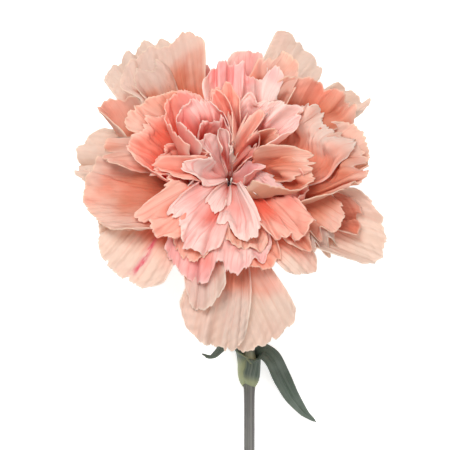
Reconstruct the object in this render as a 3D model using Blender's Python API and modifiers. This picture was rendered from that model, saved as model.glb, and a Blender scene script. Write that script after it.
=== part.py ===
"""A cut carnation, lying down with its open bloom facing up.

Sizes are in millimetres and angles in degrees until a mesh is made, and meshes are in metres, with +Z up.
The stem lies along -Y. The bloom is laid out in its own polar coordinates, with the receptacle as their
centre: azimuth runs round the bloom's axis from +X towards +Y, lean is the angle from that axis, and
distance is measured from the receptacle. Each petal is one sheet that gives a lean for every azimuth and
distance that it covers, so petals are kept apart by keeping their leans apart.
"""

import math
from dataclasses import dataclass

import bmesh
import bpy
import numpy as np

MM = 0.001

# The bloom as a whole
BLOOM_TILT = 28.0  # lean of the bloom's axis from upright, towards +Y
RECEPTACLE_HEIGHT = 11.0  # of the receptacle's middle above the surface
PETAL_THICKNESS = 0.23
GAP = 0.3  # left between neighbouring pieces

# Claws, the narrow feet of the petals, stand in rings inside the calyx
CLAW_WIDTH = 1.0
RING_SIZES = (16, 14, 11, 7)
RING_FOOT_RADII = (4.6, 4.0, 3.4, 2.9)
RING_MOUTH_RADII = (6.2, 5.2, 4.2, 3.2)
RING_FOOT_DISTANCES = (4.9, 5.7, 6.4, 6.9)
CALYX_MOUTH = 28.0  # distance at which the claws leave the calyx tube
SPREAD_FROM = 31.0  # distance at which the blades begin to open

# Calyx, bracts, receptacle, ovary and styles
CALYX_WALL = 0.5
CALYX_PROFILE = ((-2.8, 2.0), (-2.0, 4.1), (0.6, 5.6), (8.0, 6.0), (17.0, 6.75), (26.0, 7.25))
CALYX_TEETH = 5
TOOTH_ROWS = ((27.0, 27.4, 7.7), (27.3, 29.2, 9.7), (27.5, 30.2, 12.2))
BRACT_LENGTH = 9.5
BRACT_SPAN = 62.0
BRACT_THICKNESS = 0.4
RECEPTACLE_RADIUS = 4.15
RECEPTACLE_TOP = 7.0
OVARY_MIDDLE = 13.2
OVARY_RADIUS = 1.8
OVARY_HALF_LENGTH = 5.6
STYLE_RADIUS = 0.35
AXIS_KEPT_CLEAR = 1.2  # radius round the bloom's axis that is left to the styles

# Stem
STEM_RADIUS = 1.45
PEDUNCLE_RADIUS = 1.2
NODE_RADIUS = 2.6
NECK_TOP = -1.75  # along the bloom's axis
NECK_BEND = 11.0
NODE_Y = -35.5
NODE_LENGTH = 9.0
NODE_HEIGHT = 3.3
STEM_X = 5.6
STEM_END_Y = -130.0

TILT = math.radians(BLOOM_TILT)
CENTRE = np.array((0.0, 0.0, RECEPTACLE_HEIGHT))
ACROSS = np.array((1.0, 0.0, 0.0))
BACKWARD = np.array((0.0, math.cos(TILT), -math.sin(TILT)))
AXIS = np.array((0.0, math.sin(TILT), math.cos(TILT)))

# Rows of every petal lie at these distances, so that neighbours bend at the same places
ROW_DISTANCES = (18.0, 27.0, 31.0, 31.8, 32.8, 34.6, 37.4, 41.5, 46.5)
SHORTEST_ROW = 1.4
ROW_BEND = 1.5  # above 1 the rows stay level in the throat and follow the rim only near it


@dataclass(frozen=True)
class Petal:
    """One petal, as its middle line and the way that its blade bends to both sides of it."""

    azimuth: float
    lean: float  # of the middle of the rim
    reach: float  # distance of the middle of the rim
    width: float
    flare: float = 0.6  # below 1 it opens low down, above 1 near its rim
    cup: float = 6.0  # how much nearer the axis both sides lean than the middle
    skew: float = 0.0  # how much further out the side at the greater azimuth leans
    colour: str = "coral"


# From the outermost petal to the innermost
PETALS = (
    # lying back on the surface
    Petal(124, 80, 56, 26, 0.45, 4, 4, colour="cream"),
    Petal(66, 77, 56, 24, 0.45, 4, -4, colour="cream"),
    Petal(98, 77, 52, 18, 0.45, 3, colour="blush"),
    Petal(162, 66, 48, 20, 0.45, 6, colour="blush"),
    Petal(142, 64, 50, 14, 0.45, 6, colour="coral"),
    Petal(42, 63, 51, 20, 0.45, 6, colour="cream"),
    Petal(289, 72, 43, 23, 0.42, 4, -4, colour="tan"),
    Petal(257, 69, 43.5, 22, 0.55, 6, 5, colour="blush"),
    Petal(350, 69, 47, 16, 0.4, 14, colour="cream"),
    Petal(217, 61, 45, 24, 0.4, 5, 4, colour="cream"),
    # second tier
    Petal(20, 58, 48, 22, 0.5, 8, colour="tan"),
    Petal(359, 63, 45, 16, 0.45, 6, colour="tan"),
    Petal(111, 63, 58, 22, 0.5, 5, colour="tan"),
    Petal(325, 56, 41, 22, 0.5, 6, colour="cream"),
    Petal(190, 56, 46, 26, 0.5, 8, colour="tan"),
    Petal(87, 57, 53, 16, 0.5, 10, colour="blush"),
    Petal(127, 58, 52, 16, 0.5, 8, colour="blush"),
    Petal(172, 54, 48, 18, 0.5, 8, colour="blush"),
    Petal(51, 54, 52, 22, 0.5, 6, colour="cream"),
    Petal(69, 51, 55, 15, 0.55, 8, colour="tan"),
    Petal(263, 53, 43, 20, 0.5, 8, colour="blush"),
    Petal(341, 53, 44, 20, 0.5, 6, colour="tan"),
    # third tier
    Petal(358, 46, 47, 18, 0.55, 8, -5, colour="blush"),
    Petal(140, 45, 51, 20, 0.6, 8, colour="blush"),
    Petal(21, 44, 49, 20, 0.6, 8, colour="tan"),
    Petal(160, 42, 51, 24, 0.6, 8, colour="coral"),
    Petal(307, 41, 42, 22, 0.5, 6, colour="coral"),
    Petal(246, 41, 42, 18, 0.62, 6, colour="coral"),
    Petal(277, 42, 42, 22, 0.5, 4, colour="coral"),
    Petal(203, 38, 46, 24, 0.55, 8, colour="coral"),
    Petal(332, 39, 44, 20, 0.6, 10, colour="blush"),
    Petal(72, 37, 52, 24, 0.65, 8, colour="blush"),
    Petal(38, 33, 52, 20, 0.7, 8, colour="blush"),
    Petal(223, 33, 44, 20, 0.6, 6, colour="coral"),
    # standing petals
    Petal(348, 32, 48, 20, 0.6, 14, colour="tan"),
    Petal(91, 31, 51, 18, 0.8, 10, colour="coral"),
    Petal(120, 31, 52, 26, 0.8, 12, colour="coral"),
    Petal(10, 30, 50, 18, 0.7, 8, colour="coral"),
    Petal(300, 31, 41, 22, 0.66, 5, colour="blush"),
    Petal(120, 25, 51, 20, 0.8, 10, colour="coral"),
    Petal(177, 24, 48, 18, 0.7, 6, colour="coral"),
    Petal(42, 22, 50, 16, 0.8, 6, colour="blush"),
    Petal(255, 25, 40, 14, 0.7, 5, colour="coral"),
    Petal(121, 19, 50, 14, 0.8, 6, colour="coral"),
    Petal(150, 17, 48, 12, 0.8, 4, colour="blush"),
    Petal(331, 15, 43, 8, 0.8, 3, colour="coral"),
    Petal(27, 12, 46, 8, 0.7, 3, colour="coral"),
    Petal(95, 13, 47, 9, 0.6, 3, colour="blush"),
)

COLOURS = {
    "coral": (0.86, 0.33, 0.24, 1.0),
    "blush": (0.92, 0.52, 0.45, 1.0),
    "cream": (0.93, 0.72, 0.60, 1.0),
    "tan": (0.78, 0.42, 0.28, 1.0),
    "stem": (0.20, 0.24, 0.18, 1.0),
    "leaf": (0.11, 0.19, 0.16, 1.0),
    "calyx": (0.25, 0.36, 0.18, 1.0),
    "style": (0.90, 0.85, 0.78, 1.0),
}


def bloom_point(azimuth, lean, distance):
    """Points in the object's own frame, from angles in radians and distances, which may be arrays."""
    out = distance * np.sin(lean)
    return (
        CENTRE
        + np.multiply.outer(out * np.cos(azimuth), ACROSS)
        + np.multiply.outer(out * np.sin(azimuth), BACKWARD)
        + np.multiply.outer(distance * np.cos(lean), AXIS)
    )


def round_axis(azimuth, radius, height):
    """Points from an azimuth in radians, a radius and a height along the bloom's axis."""
    return bloom_point(azimuth, np.arctan2(radius, height), np.hypot(radius, height))


def smooth(value):
    """0 below 0, 1 above 1, and an even S between them."""
    value = np.clip(value, 0.0, 1.0)
    return value * value * (3.0 - 2.0 * value)


# ------------------------------------------------------------------------------------------------ claws


@dataclass(frozen=True)
class Claw:
    """The place of a petal's foot in its ring."""

    azimuth: float  # radians
    foot_radius: float
    mouth_radius: float
    foot_distance: float


def claws_of(petals):
    """A claw for each petal: the outer petals stand in the outer rings, evenly spaced in each."""
    claws = {}
    start = 0
    for ring, size in enumerate(RING_SIZES):
        members = sorted(range(start, start + size), key=lambda index: petals[index].azimuth)
        pitch = 360.0 / size
        offsets = [petals[index].azimuth - place * pitch for place, index in enumerate(members)]
        turn = sum(offsets) / size
        for place, index in enumerate(members):
            claws[index] = Claw(
                math.radians(turn + place * pitch),
                RING_FOOT_RADII[ring],
                RING_MOUTH_RADII[ring],
                RING_FOOT_DISTANCES[ring],
            )
        start += size
    return [claws[index] for index in range(len(petals))]


# ----------------------------------------------------------------------------------------------- petals

EASE = 0.06  # above 0 the blade opens less suddenly where it leaves the throat
PAST_RIM = 1.1  # share of its length up to which a blade's curve is carried on
DRIFT_FROM, DRIFT_TO = 16.0, 40.0  # between these a petal turns from its claw's azimuth to its own
WIDEST_AT = 0.82  # share of the blade's length at which it is widest
WIDENING = 1.25  # above 1 the blade stays narrow for longer
CORNERS = 0.26  # share of the blade by which its corners fall short of its middle
ROUNDING = 2.6  # above 2 the rim is flatter in the middle and rounder at its corners
MOST_WRAP = math.radians(62.0)  # most that half a petal goes round the axis
WIDE_PETAL = 18.0  # petals over this width have one more column
COLUMNS = 4

# How the petals are stacked: where they are close in the throat, and where they are open
RASTER_STEP = 0.5
RASTER_START = 4.0
RASTER_ROWS = 116
RASTER_DISTANCES = RASTER_START + RASTER_STEP * np.arange(RASTER_ROWS)
RASTER_AZIMUTHS = np.radians(np.arange(360.0))
STACK_FROM = 22.0  # below this distance the rings alone keep the claws apart
CLOSE_SPACING, OPEN_SPACING = 0.45, 1.15
SPACING_FROM, SPACING_TO = 28.3, 37.8
CLOSE_MARGIN, OPEN_MARGIN = 0.35, 1.2
MARGIN_FROM, MARGIN_TO = 30.0, 35.0
CLOSE_REACH, OPEN_REACH = (6, 2), (8, 6)  # azimuths and rows over which a push spreads
CLOSE_EASING, OPEN_EASING = (3, 1), (4, 3)  # azimuths and rows over which it is evened out
REACH_FROM, REACH_TO = 33.0, 38.0
SURFACE_CLEARANCE = 0.05
THROAT_FROM = 27.0  # the calyx teeth splay from here
THROAT_END = 33.2  # beyond the teeth's tips the petals may open freely
THROAT_SPLAY = 0.15  # millimetres of room won per square millimetre


def clearance(distance):
    """Distance kept between the middles of two petals that lie one on the other."""
    opened = smooth((distance - SPACING_FROM) / (SPACING_TO - SPACING_FROM))
    return CLOSE_SPACING + (OPEN_SPACING - CLOSE_SPACING) * opened


def edge_margin(distance):
    """How far past its own edges a petal keeps others away."""
    opened = smooth((distance - MARGIN_FROM) / (MARGIN_TO - MARGIN_FROM))
    return CLOSE_MARGIN + (OPEN_MARGIN - CLOSE_MARGIN) * opened


def claw_lean(claw, distance):
    """Lean of a claw's middle line: it rises from the receptacle to its ring's place at the mouth."""
    rise = smooth((distance - claw.foot_distance) / (CALYX_MOUTH - claw.foot_distance))
    radius = claw.foot_radius + (claw.mouth_radius - claw.foot_radius) * rise
    radius = radius * np.maximum(1.0, distance / CALYX_MOUTH)
    return np.arcsin(np.clip(radius / distance, 0.0, 1.0))


def free_lean(petal, claw, side, distance):
    """Lean of the petal's sheet where nothing pushes it; side runs from -1 to 1 across the blade."""
    foot = claw_lean(claw, distance)
    rise = np.clip((distance - SPREAD_FROM) / (petal.reach - SPREAD_FROM), 0.0, PAST_RIM)
    start = EASE**petal.flare
    opened = ((rise + EASE) ** petal.flare - start) / ((1.0 + EASE) ** petal.flare - start)
    bent = petal.skew * side - petal.cup * side**2
    return foot + (np.radians(petal.lean + bent) - foot) * opened


def blade_length(petal, claw, distance):
    """Straight length of the blade's middle line, from where it begins to open."""
    turn = free_lean(petal, claw, 0.0, distance) - claw_lean(claw, SPREAD_FROM)
    square = distance**2 + SPREAD_FROM**2 - 2.0 * distance * SPREAD_FROM * np.cos(turn)
    return np.where(distance > SPREAD_FROM, np.sqrt(square), 0.0)


def half_span(petal, claw, distance):
    """Half the angle that the petal covers round the axis."""
    ring = distance * np.sin(free_lean(petal, claw, 0.0, distance))
    part = blade_length(petal, claw, distance) / blade_length(petal, claw, petal.reach)
    widened = np.sin(math.pi / 2.0 * np.clip(part / WIDEST_AT, 0.0, 1.0)) ** WIDENING
    half = (CLAW_WIDTH + (petal.width - CLAW_WIDTH) * widened) / 2.0
    return half / np.maximum(ring, half / MOST_WRAP)


def middle_azimuth(petal, claw, distance):
    """Azimuth of the petal's middle line, which drifts from its claw's to its blade's own."""
    drift = (math.radians(petal.azimuth) - claw.azimuth + math.pi) % (2.0 * math.pi) - math.pi
    return claw.azimuth + drift * smooth((distance - DRIFT_FROM) / (DRIFT_TO - DRIFT_FROM))


def rim_distance(petal, side):
    """Distance of the rim, which is rounded towards both corners."""
    return petal.reach - (petal.reach - SPREAD_FROM) * CORNERS * np.abs(side) ** ROUNDING


def widest(field, turns, rows):
    """The largest value near each place of a raster whose first axis runs round the bloom."""
    field = np.max([np.roll(field, turn, axis=0) for turn in range(-turns, turns + 1)], axis=0)
    padded = np.pad(field, ((0, 0), (rows, rows)), mode="edge")
    return np.max([padded[:, row : row + field.shape[1]] for row in range(2 * rows + 1)], axis=0)


def softened(field, turns, rows):
    """The mean value near each place of such a raster, taken twice for a smooth slope."""
    for _ in range(2):
        field = np.mean([np.roll(field, turn, axis=0) for turn in range(-turns, turns + 1)], axis=0)
        padded = np.pad(field, ((0, 0), (rows, rows)), mode="edge")
        field = np.mean([padded[:, row : row + field.shape[1]] for row in range(2 * rows + 1)], axis=0)
    return field


def throat_lean(distance):
    """The largest lean that the calyx and its spreading teeth leave to the petals."""
    radius = RING_MOUTH_RADII[0] + THROAT_SPLAY * np.maximum(0.0, distance - THROAT_FROM) ** 2
    return np.arcsin(np.clip(radius / distance, 0.0, 1.0))


def surface_lean(azimuths, distances):
    """The lean at which a petal lies on the surface under the flower."""
    backward = math.sin(TILT) * np.sin(azimuths)
    length = np.hypot(math.cos(TILT), backward)
    fall = (SURFACE_CLEARANCE + PETAL_THICKNESS / 2.0 - RECEPTACLE_HEIGHT) / (distances * length)
    return np.arccos(np.clip(fall, -1.0, 1.0)) - np.arctan2(backward, math.cos(TILT))


def laid_petals(petals, claws):
    """How far each petal is pushed towards the axis, as a raster, by those that were laid before it."""
    azimuths, distances = np.meshgrid(RASTER_AZIMUTHS, RASTER_DISTANCES, indexing="ij")
    room = np.where(distances < THROAT_END, throat_lean(distances), math.pi)
    surface = surface_lean(azimuths, distances)
    pushes = []
    for petal, claw in zip(petals, claws):
        span = half_span(petal, claw, RASTER_DISTANCES)
        turned = azimuths - middle_azimuth(petal, claw, RASTER_DISTANCES)
        turned = (turned + math.pi) % (2.0 * math.pi) - math.pi
        side = turned / span
        ring = RASTER_DISTANCES * np.sin(free_lean(petal, claw, 0.0, RASTER_DISTANCES))
        margin = edge_margin(RASTER_DISTANCES)
        held = np.clip(side, -1.0, 1.0)
        covered = np.abs(side) <= 1.0 + margin / (span * ring)
        covered &= distances <= rim_distance(petal, held) + margin
        free = free_lean(petal, claw, held, distances)
        stacked = covered & (distances >= STACK_FROM)
        excess = np.where(stacked, np.maximum(0.0, free - room), 0.0)
        close = softened(widest(excess, *CLOSE_REACH), *CLOSE_EASING)
        wide = softened(widest(excess, *OPEN_REACH), *OPEN_EASING)
        push = close + (wide - close) * smooth((distances - REACH_FROM) / (REACH_TO - REACH_FROM))
        least = np.arcsin(np.clip(AXIS_KEPT_CLEAR / distances, 0.0, 1.0))
        push = np.maximum(np.minimum(push, np.maximum(0.0, free - least)), free - surface)
        laid = free - push - clearance(distances) / distances
        room = np.where(covered, np.minimum(room, laid), room)
        pushes.append(push)
    return pushes


def read_raster(field, azimuth, distance):
    """Values of a raster between its places."""
    turn = np.degrees(azimuth) % 360.0
    row = np.clip((distance - RASTER_START) / RASTER_STEP, 0.0, RASTER_ROWS - 1.001)
    left, low = np.floor(turn).astype(int), np.floor(row).astype(int)
    across, along = turn - left, row - low
    left, right = left % 360, (left + 1) % 360
    near = field[left, low] * (1.0 - across) + field[right, low] * across
    far = field[left, low + 1] * (1.0 - across) + field[right, low + 1] * across
    return near * (1.0 - along) + far * along


def petal_points(petal, claw, push, side, distance):
    """Points of the laid petal, at sides from -1 to 1 and at distances along its middle line."""
    blade = np.maximum(0.0, distance - SPREAD_FROM) / (petal.reach - SPREAD_FROM)
    distance = distance - blade**ROW_BEND * (petal.reach - rim_distance(petal, side))
    azimuth = middle_azimuth(petal, claw, distance) + side * half_span(petal, claw, distance)
    lean = free_lean(petal, claw, side, distance) - read_raster(push, azimuth, distance)
    return bloom_point(azimuth, lean, distance)


# ------------------------------------------------------------------------------------------ mesh helpers


def material(name, roughness=0.6):
    """The Principled material of a colour."""
    made = bpy.data.materials.get(name) or bpy.data.materials.new(name)
    made.use_nodes = True
    shader = made.node_tree.nodes["Principled BSDF"]
    shader.inputs["Base Color"].default_value = COLOURS[name]
    shader.inputs["Roughness"].default_value = roughness
    shader.inputs["Metallic"].default_value = 0.0
    made.diffuse_color = COLOURS[name]
    return made


def add_object(name, data, colour, collection):
    """An object of this mesh or curve, in the flower's collection."""
    made = bpy.data.objects.new(name, data)
    data.materials.append(material(colour))
    collection.objects.link(made)
    return made


def sheet_mesh(name, columns, rows, place, closed=False):
    """A mesh of columns by rows, each vertex of which place() puts where it belongs.

    place() gets the vertices' columns and rows as arrays, counted from 0 and evenly spaced.
    """
    bm = bmesh.new()
    bmesh.ops.create_grid(bm, x_segments=columns, y_segments=rows, size=0.5)
    flat = np.array([vertex.co for vertex in bm.verts])
    points = place((flat[:, 0] + 0.5) * columns, (flat[:, 1] + 0.5) * rows)
    for vertex, point in zip(bm.verts, points * MM):
        vertex.co = point
    if closed:
        bmesh.ops.remove_doubles(bm, verts=bm.verts, dist=1e-6)
    mesh = bpy.data.meshes.new(name)
    bm.to_mesh(mesh)
    bm.free()
    mesh.shade_smooth()
    return mesh


def solidify(made, thickness, offset=0.0):
    """Gives an open sheet its thickness."""
    wall = made.modifiers.new("Wall", "SOLIDIFY")
    wall.thickness = thickness * MM
    wall.offset = offset
    wall.use_even_offset = False


def revolve_profile(name, profile, steps, colour, collection):
    """A solid turned round the bloom's axis, from radii and heights that run from its top to its foot."""
    bm = bmesh.new()
    corners = [bm.verts.new((radius * MM, 0.0, height * MM)) for radius, height in profile]
    for first, second in zip(corners, corners[1:]):
        bm.edges.new((first, second))
    mesh = bpy.data.meshes.new(name)
    bm.to_mesh(mesh)
    bm.free()
    made = add_object(name, mesh, colour, collection)
    screw = made.modifiers.new("Turn", "SCREW")
    screw.steps = steps
    screw.render_steps = steps
    screw.use_merge_vertices = True
    screw.merge_threshold = 1e-5
    screw.use_smooth_shade = True
    made.location = CENTRE * MM
    made.rotation_euler = (-TILT, 0.0, 0.0)
    return made


def tube(name, points, radii, thickness, colour, collection, resolution=2):
    """A capped tube along points, whose own radii are shares of its thickness."""
    data = bpy.data.curves.new(name, "CURVE")
    data.dimensions = "3D"
    data.bevel_depth = thickness * MM
    data.bevel_resolution = resolution
    data.use_fill_caps = True
    spline = data.splines.new("POLY")
    spline.points.add(len(points) - 1)
    for knot, point, radius in zip(spline.points, points, radii):
        knot.co = (*(point * MM), 1.0)
        knot.radius = radius
    return add_object(name, data, colour, collection)


# ---------------------------------------------------------------------------------------- the sub-parts


def build_petals(collection):
    """All petals, from the outermost to the innermost."""
    claws = claws_of(PETALS)
    pushes = laid_petals(PETALS, claws)
    for number, (petal, claw, push) in enumerate(zip(PETALS, claws, pushes), start=1):
        kept = [row for row in ROW_DISTANCES if row < petal.reach - SHORTEST_ROW]
        rows = np.array([claw.foot_distance, *kept, petal.reach])
        columns = COLUMNS + 1 if petal.width > WIDE_PETAL else COLUMNS

        def place(column, row, petal=petal, claw=claw, push=push, rows=rows, columns=columns):
            side = column / columns * 2.0 - 1.0
            return petal_points(petal, claw, push, side, rows[np.rint(row).astype(int)])

        mesh = sheet_mesh(f"petal_{number:02d}", columns, len(rows) - 1, place)
        made = add_object(mesh.name, mesh, petal.colour, collection)
        solidify(made, PETAL_THICKNESS)


def calyx_radius(height):
    """Outer radius of the calyx tube."""
    heights, radii = zip(*CALYX_PROFILE)
    return np.interp(height, heights, radii)


def build_calyx(collection):
    """The tube round the claws, with its five teeth."""
    columns = 4 * CALYX_TEETH
    tube_rows = len(CALYX_PROFILE)
    rows = tube_rows + len(TOOTH_ROWS) - 1

    def place(column, row):
        column, row = np.rint(column).astype(int), np.rint(row).astype(int)
        azimuth = 2.0 * math.pi * column / columns
        tooth = 1.0 - np.abs(column % 4 - 2) / 2.0
        valleys = np.array([height for height, _ in CALYX_PROFILE] + [low for low, _, _ in TOOTH_ROWS])
        tips = np.array([height for height, _ in CALYX_PROFILE] + [high for _, high, _ in TOOTH_ROWS])
        radii = np.array([radius for _, radius in CALYX_PROFILE] + [radius for _, _, radius in TOOTH_ROWS])
        height = valleys[row] + (tips[row] - valleys[row]) * tooth
        splay = np.where(row >= tube_rows, (radii[row] - radii[tube_rows - 1]) * tooth, 0.0)
        radius = np.where(row >= tube_rows, radii[tube_rows - 1] + splay, radii[row])
        return round_axis(azimuth, radius, height)

    mesh = sheet_mesh("calyx", columns, rows, place, closed=True)
    made = add_object("calyx", mesh, "calyx", collection)
    solidify(made, CALYX_WALL, offset=-1.0)


def build_bracts(collection):
    """Two opposite pairs of short pointed scales round the calyx's foot."""
    columns, rows = 6, 5
    for number in range(4):
        layer = 0 if number < 2 else 1
        middle = math.radians(180.0 * (number % 2) + 90.0 * layer)
        away = GAP + BRACT_THICKNESS / 2.0 + layer * (GAP + BRACT_THICKNESS)

        def place(column, row, middle=middle, away=away):
            side, along = column / columns * 2.0 - 1.0, row / rows
            narrowing = math.radians(BRACT_SPAN) * np.sqrt(np.clip(1.04 - along**1.6, 0.0, 1.0))
            height = -1.6 + BRACT_LENGTH * along * (1.0 - 0.1 * side**2)
            radius = calyx_radius(height) + away + 0.35 * along**3
            return round_axis(middle + side * narrowing, radius, height)

        mesh = sheet_mesh(f"bract_{number + 1}", columns, rows, place)
        made = add_object(mesh.name, mesh, "calyx", collection)
        solidify(made, BRACT_THICKNESS)


def build_heart(collection):
    """Receptacle, ovary and the two styles."""
    dome = [
        (RECEPTACLE_RADIUS * math.sin(turn), RECEPTACLE_TOP * math.cos(turn))
        for turn in np.radians((0.0, 20.0, 40.0, 60.0, 76.0, 88.0))
    ]
    foot = [(3.4, -0.9), (1.5, -1.4), (0.0, -1.4)]
    revolve_profile("receptacle", dome + foot, 16, "calyx", collection)

    swelling = [
        (OVARY_RADIUS * math.sin(turn), OVARY_MIDDLE + OVARY_HALF_LENGTH * math.cos(turn))
        for turn in np.radians(np.linspace(0.0, 180.0, 9))
    ]
    revolve_profile("ovary", swelling, 12, "calyx", collection)

    foot_height = OVARY_MIDDLE + OVARY_HALF_LENGTH + STYLE_RADIUS
    for name, azimuth in (("style_left", 160.0), ("style_right", -20.0)):
        turns = np.linspace(0.0, 1.0, 12)
        heights = foot_height + 15.5 * np.sin(turns * 0.62 * math.pi)
        radii = 0.55 + 0.25 * smooth((turns - 0.55) / 0.4)
        angles = math.radians(azimuth) + 0.9 * smooth((turns - 0.5) / 0.5)
        points = round_axis(angles, radii, heights)
        tube(name, points, 1.0 - 0.5 * turns**2, STYLE_RADIUS, "style", collection, resolution=1)


def stem_line():
    """Points and radii of the stem's middle line, from the neck under the calyx to the cut end."""
    top = CENTRE + NECK_TOP * AXIS
    turns = np.linspace(0.0, 1.0, 8)
    angle = (math.pi / 2.0 - TILT) * (1.0 - turns)
    full = math.pi / 2.0 - TILT
    neck_y = top[1] - NECK_BEND * (math.sin(full) - np.sin(angle))
    neck_z = top[2] - NECK_BEND * (np.cos(angle) - math.cos(full))
    run_y = np.concatenate(
        (
            np.linspace(neck_y[-1] - 3.0, NODE_Y + NODE_LENGTH, 4),
            NODE_Y + NODE_LENGTH * np.linspace(0.6, -0.6, 7),
            np.linspace(NODE_Y - NODE_LENGTH, STEM_END_Y, 9),
        )
    )
    along = smooth((neck_y[-1] - run_y) / (neck_y[-1] - NODE_Y))
    run_z = neck_z[-1] + (NODE_HEIGHT - neck_z[-1]) * along
    falling = smooth((NODE_Y - run_y) / (NODE_Y - STEM_END_Y))
    run_z = run_z + (STEM_RADIUS - NODE_HEIGHT) * falling
    y = np.concatenate((neck_y, run_y))
    z = np.concatenate((neck_z, run_z))
    x = STEM_X * smooth((top[1] - y) / (top[1] - NODE_Y - 4.0))
    swelling = np.exp(-(((y - NODE_Y) / (0.42 * NODE_LENGTH)) ** 2))
    plain = np.where(y > NODE_Y, PEDUNCLE_RADIUS, STEM_RADIUS)
    radii = plain + (NODE_RADIUS - plain) * swelling
    return np.stack((x, y, z), axis=1), radii


def build_stem(collection):
    """Neck, peduncle, swollen node and internode down to the cut end, as one piece."""
    points, radii = stem_line()
    tube("stem", points, radii / STEM_RADIUS, STEM_RADIUS, "stem", collection)


@dataclass(frozen=True)
class LeafStation:
    """A cross-section of a leaf: its middle, the way that its lower face looks, and its arc."""

    middle: tuple
    outward: tuple
    half_width: float
    half_arc: float


NODE_AXIS = (STEM_X - 0.25, NODE_HEIGHT + 0.1)
SHEATH_OUT = NODE_RADIUS + GAP + 0.35
LEAF_THICKNESS = 0.5

RIGHT_LEAF = (
    LeafStation((NODE_AXIS[0] + SHEATH_OUT, -39.0, NODE_AXIS[1]), (1.0, 0.0, 0.0), 3.0, 78.0),
    LeafStation((NODE_AXIS[0] + SHEATH_OUT, -34.0, NODE_AXIS[1]), (1.0, 0.0, 0.0), 3.0, 76.0),
    LeafStation((9.6, -30.4, 4.4), (0.85, -0.2, -0.45), 2.5, 52.0),
    LeafStation((12.2, -28.6, 6.4), (0.35, -0.35, -0.85), 2.2, 30.0),
    LeafStation((15.6, -31.6, 7.2), (-0.1, -0.2, -1.0), 2.3, 24.0),
    LeafStation((18.6, -37.0, 6.2), (-0.1, 0.1, -1.0), 2.3, 22.0),
    LeafStation((21.4, -43.0, 4.0), (0.0, 0.2, -1.0), 1.7, 20.0),
    LeafStation((23.6, -48.8, 1.2), (0.0, 0.3, -1.0), 0.35, 14.0),
)
LEFT_LEAF = (
    LeafStation((NODE_AXIS[0] - SHEATH_OUT, -39.0, NODE_AXIS[1]), (-1.0, 0.0, 0.0), 3.0, 78.0),
    LeafStation((NODE_AXIS[0] - SHEATH_OUT, -34.0, NODE_AXIS[1]), (-1.0, 0.0, 0.0), 3.0, 76.0),
    LeafStation((1.3, -30.0, 4.4), (-0.85, -0.2, -0.45), 2.4, 50.0),
    LeafStation((-1.0, -26.8, 6.6), (-0.5, -0.4, -0.8), 2.0, 30.0),
    LeafStation((-3.6, -26.4, 8.0), (-0.2, -0.6, -0.8), 1.8, 24.0),
    LeafStation((-6.2, -29.2, 8.2), (0.2, -0.3, -1.0), 1.2, 20.0),
    LeafStation((-8.0, -30.8, 7.4), (0.3, 0.0, -1.0), 0.35, 14.0),
)


def through(values, places):
    """A smooth curve through evenly spaced values, read at places counted from 0."""
    values = np.asarray(values, dtype=float)
    padded = np.concatenate((2 * values[:1] - values[1:2], values, 2 * values[-1:] - values[-2:-1]))
    first = np.clip(np.floor(places).astype(int), 0, len(values) - 2)
    part = (places - first).reshape((-1,) + (1,) * (values.ndim - 1))
    before, start, end, after = (padded[first + step] for step in range(4))
    return 0.5 * (
        2 * start
        + (end - before) * part
        + (2 * before - 5 * start + 4 * end - after) * part**2
        + (3 * start - before - 3 * end + after) * part**3
    )


def build_leaf(name, stations, collection):
    """A leaf and its half of the sheath, swept through its stations."""
    columns, rows = 4, 2 * (len(stations) - 1)
    middles = [station.middle for station in stations]
    outwards = [station.outward for station in stations]
    arcs = [(station.half_width, station.half_arc) for station in stations]

    def place(column, row):
        side, along = column / columns * 2.0 - 1.0, row / 2.0
        middle = through(middles, along)
        forward = through(middles, along + 0.05) - through(middles, along - 0.05)
        outward = through(outwards, along)
        across = np.cross(forward, outward)
        across /= np.linalg.norm(across, axis=1, keepdims=True)
        outward = np.cross(across, forward)
        outward /= np.linalg.norm(outward, axis=1, keepdims=True)
        half_width, half_arc = through(arcs, along).T
        half_arc = np.radians(half_arc)
        radius = half_width / np.sin(half_arc)
        bend = side * half_arc
        sideways = (radius * np.sin(bend))[:, None] * across
        inward = (radius * (1.0 - np.cos(bend)))[:, None] * outward
        return middle + sideways - inward

    made = add_object(name, sheet_mesh(name, columns, rows, place), "leaf", collection)
    solidify(made, LEAF_THICKNESS)


def stand_on_footprint(collection):
    """Moves everything so that the origin is under the middle of the object."""
    graph = bpy.context.evaluated_depsgraph_get()
    corners = []
    for made in collection.objects:
        evaluated = made.evaluated_get(graph)
        mesh = evaluated.to_mesh()
        corners.extend(evaluated.matrix_world @ vertex.co for vertex in mesh.vertices)
        evaluated.to_mesh_clear()
    low, high = np.min(corners, axis=0), np.max(corners, axis=0)
    holder = bpy.data.objects.new("carnation_origin", None)
    collection.objects.link(holder)
    holder.location = (-(low[0] + high[0]) / 2.0, -(low[1] + high[1]) / 2.0, -low[2])
    for made in collection.objects:
        if made is not holder:
            made.parent = holder


def main():
    """Clears the scene and builds the carnation."""
    for made in list(bpy.data.objects):
        bpy.data.objects.remove(made, do_unlink=True)
    collection = bpy.data.collections.new("carnation")
    bpy.context.scene.collection.children.link(collection)
    build_stem(collection)
    build_leaf("leaf_right", RIGHT_LEAF, collection)
    build_leaf("leaf_left", LEFT_LEAF, collection)
    build_calyx(collection)
    build_bracts(collection)
    build_heart(collection)
    build_petals(collection)
    bpy.context.view_layer.update()
    stand_on_footprint(collection)


main()
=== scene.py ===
"""Looks of a cut carnation that lies on a pale table with its open bloom facing up.

Sizes are in millimetres and angles in degrees until a mesh gets its place, and meshes are in metres.
The bloom has its own polar coordinates round the receptacle: azimuth runs round the bloom's axis from
+X towards +Y, lean is the angle from that axis, and distance is measured from the receptacle.
"""

import logging
import math
from dataclasses import dataclass, field
from enum import Enum

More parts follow.
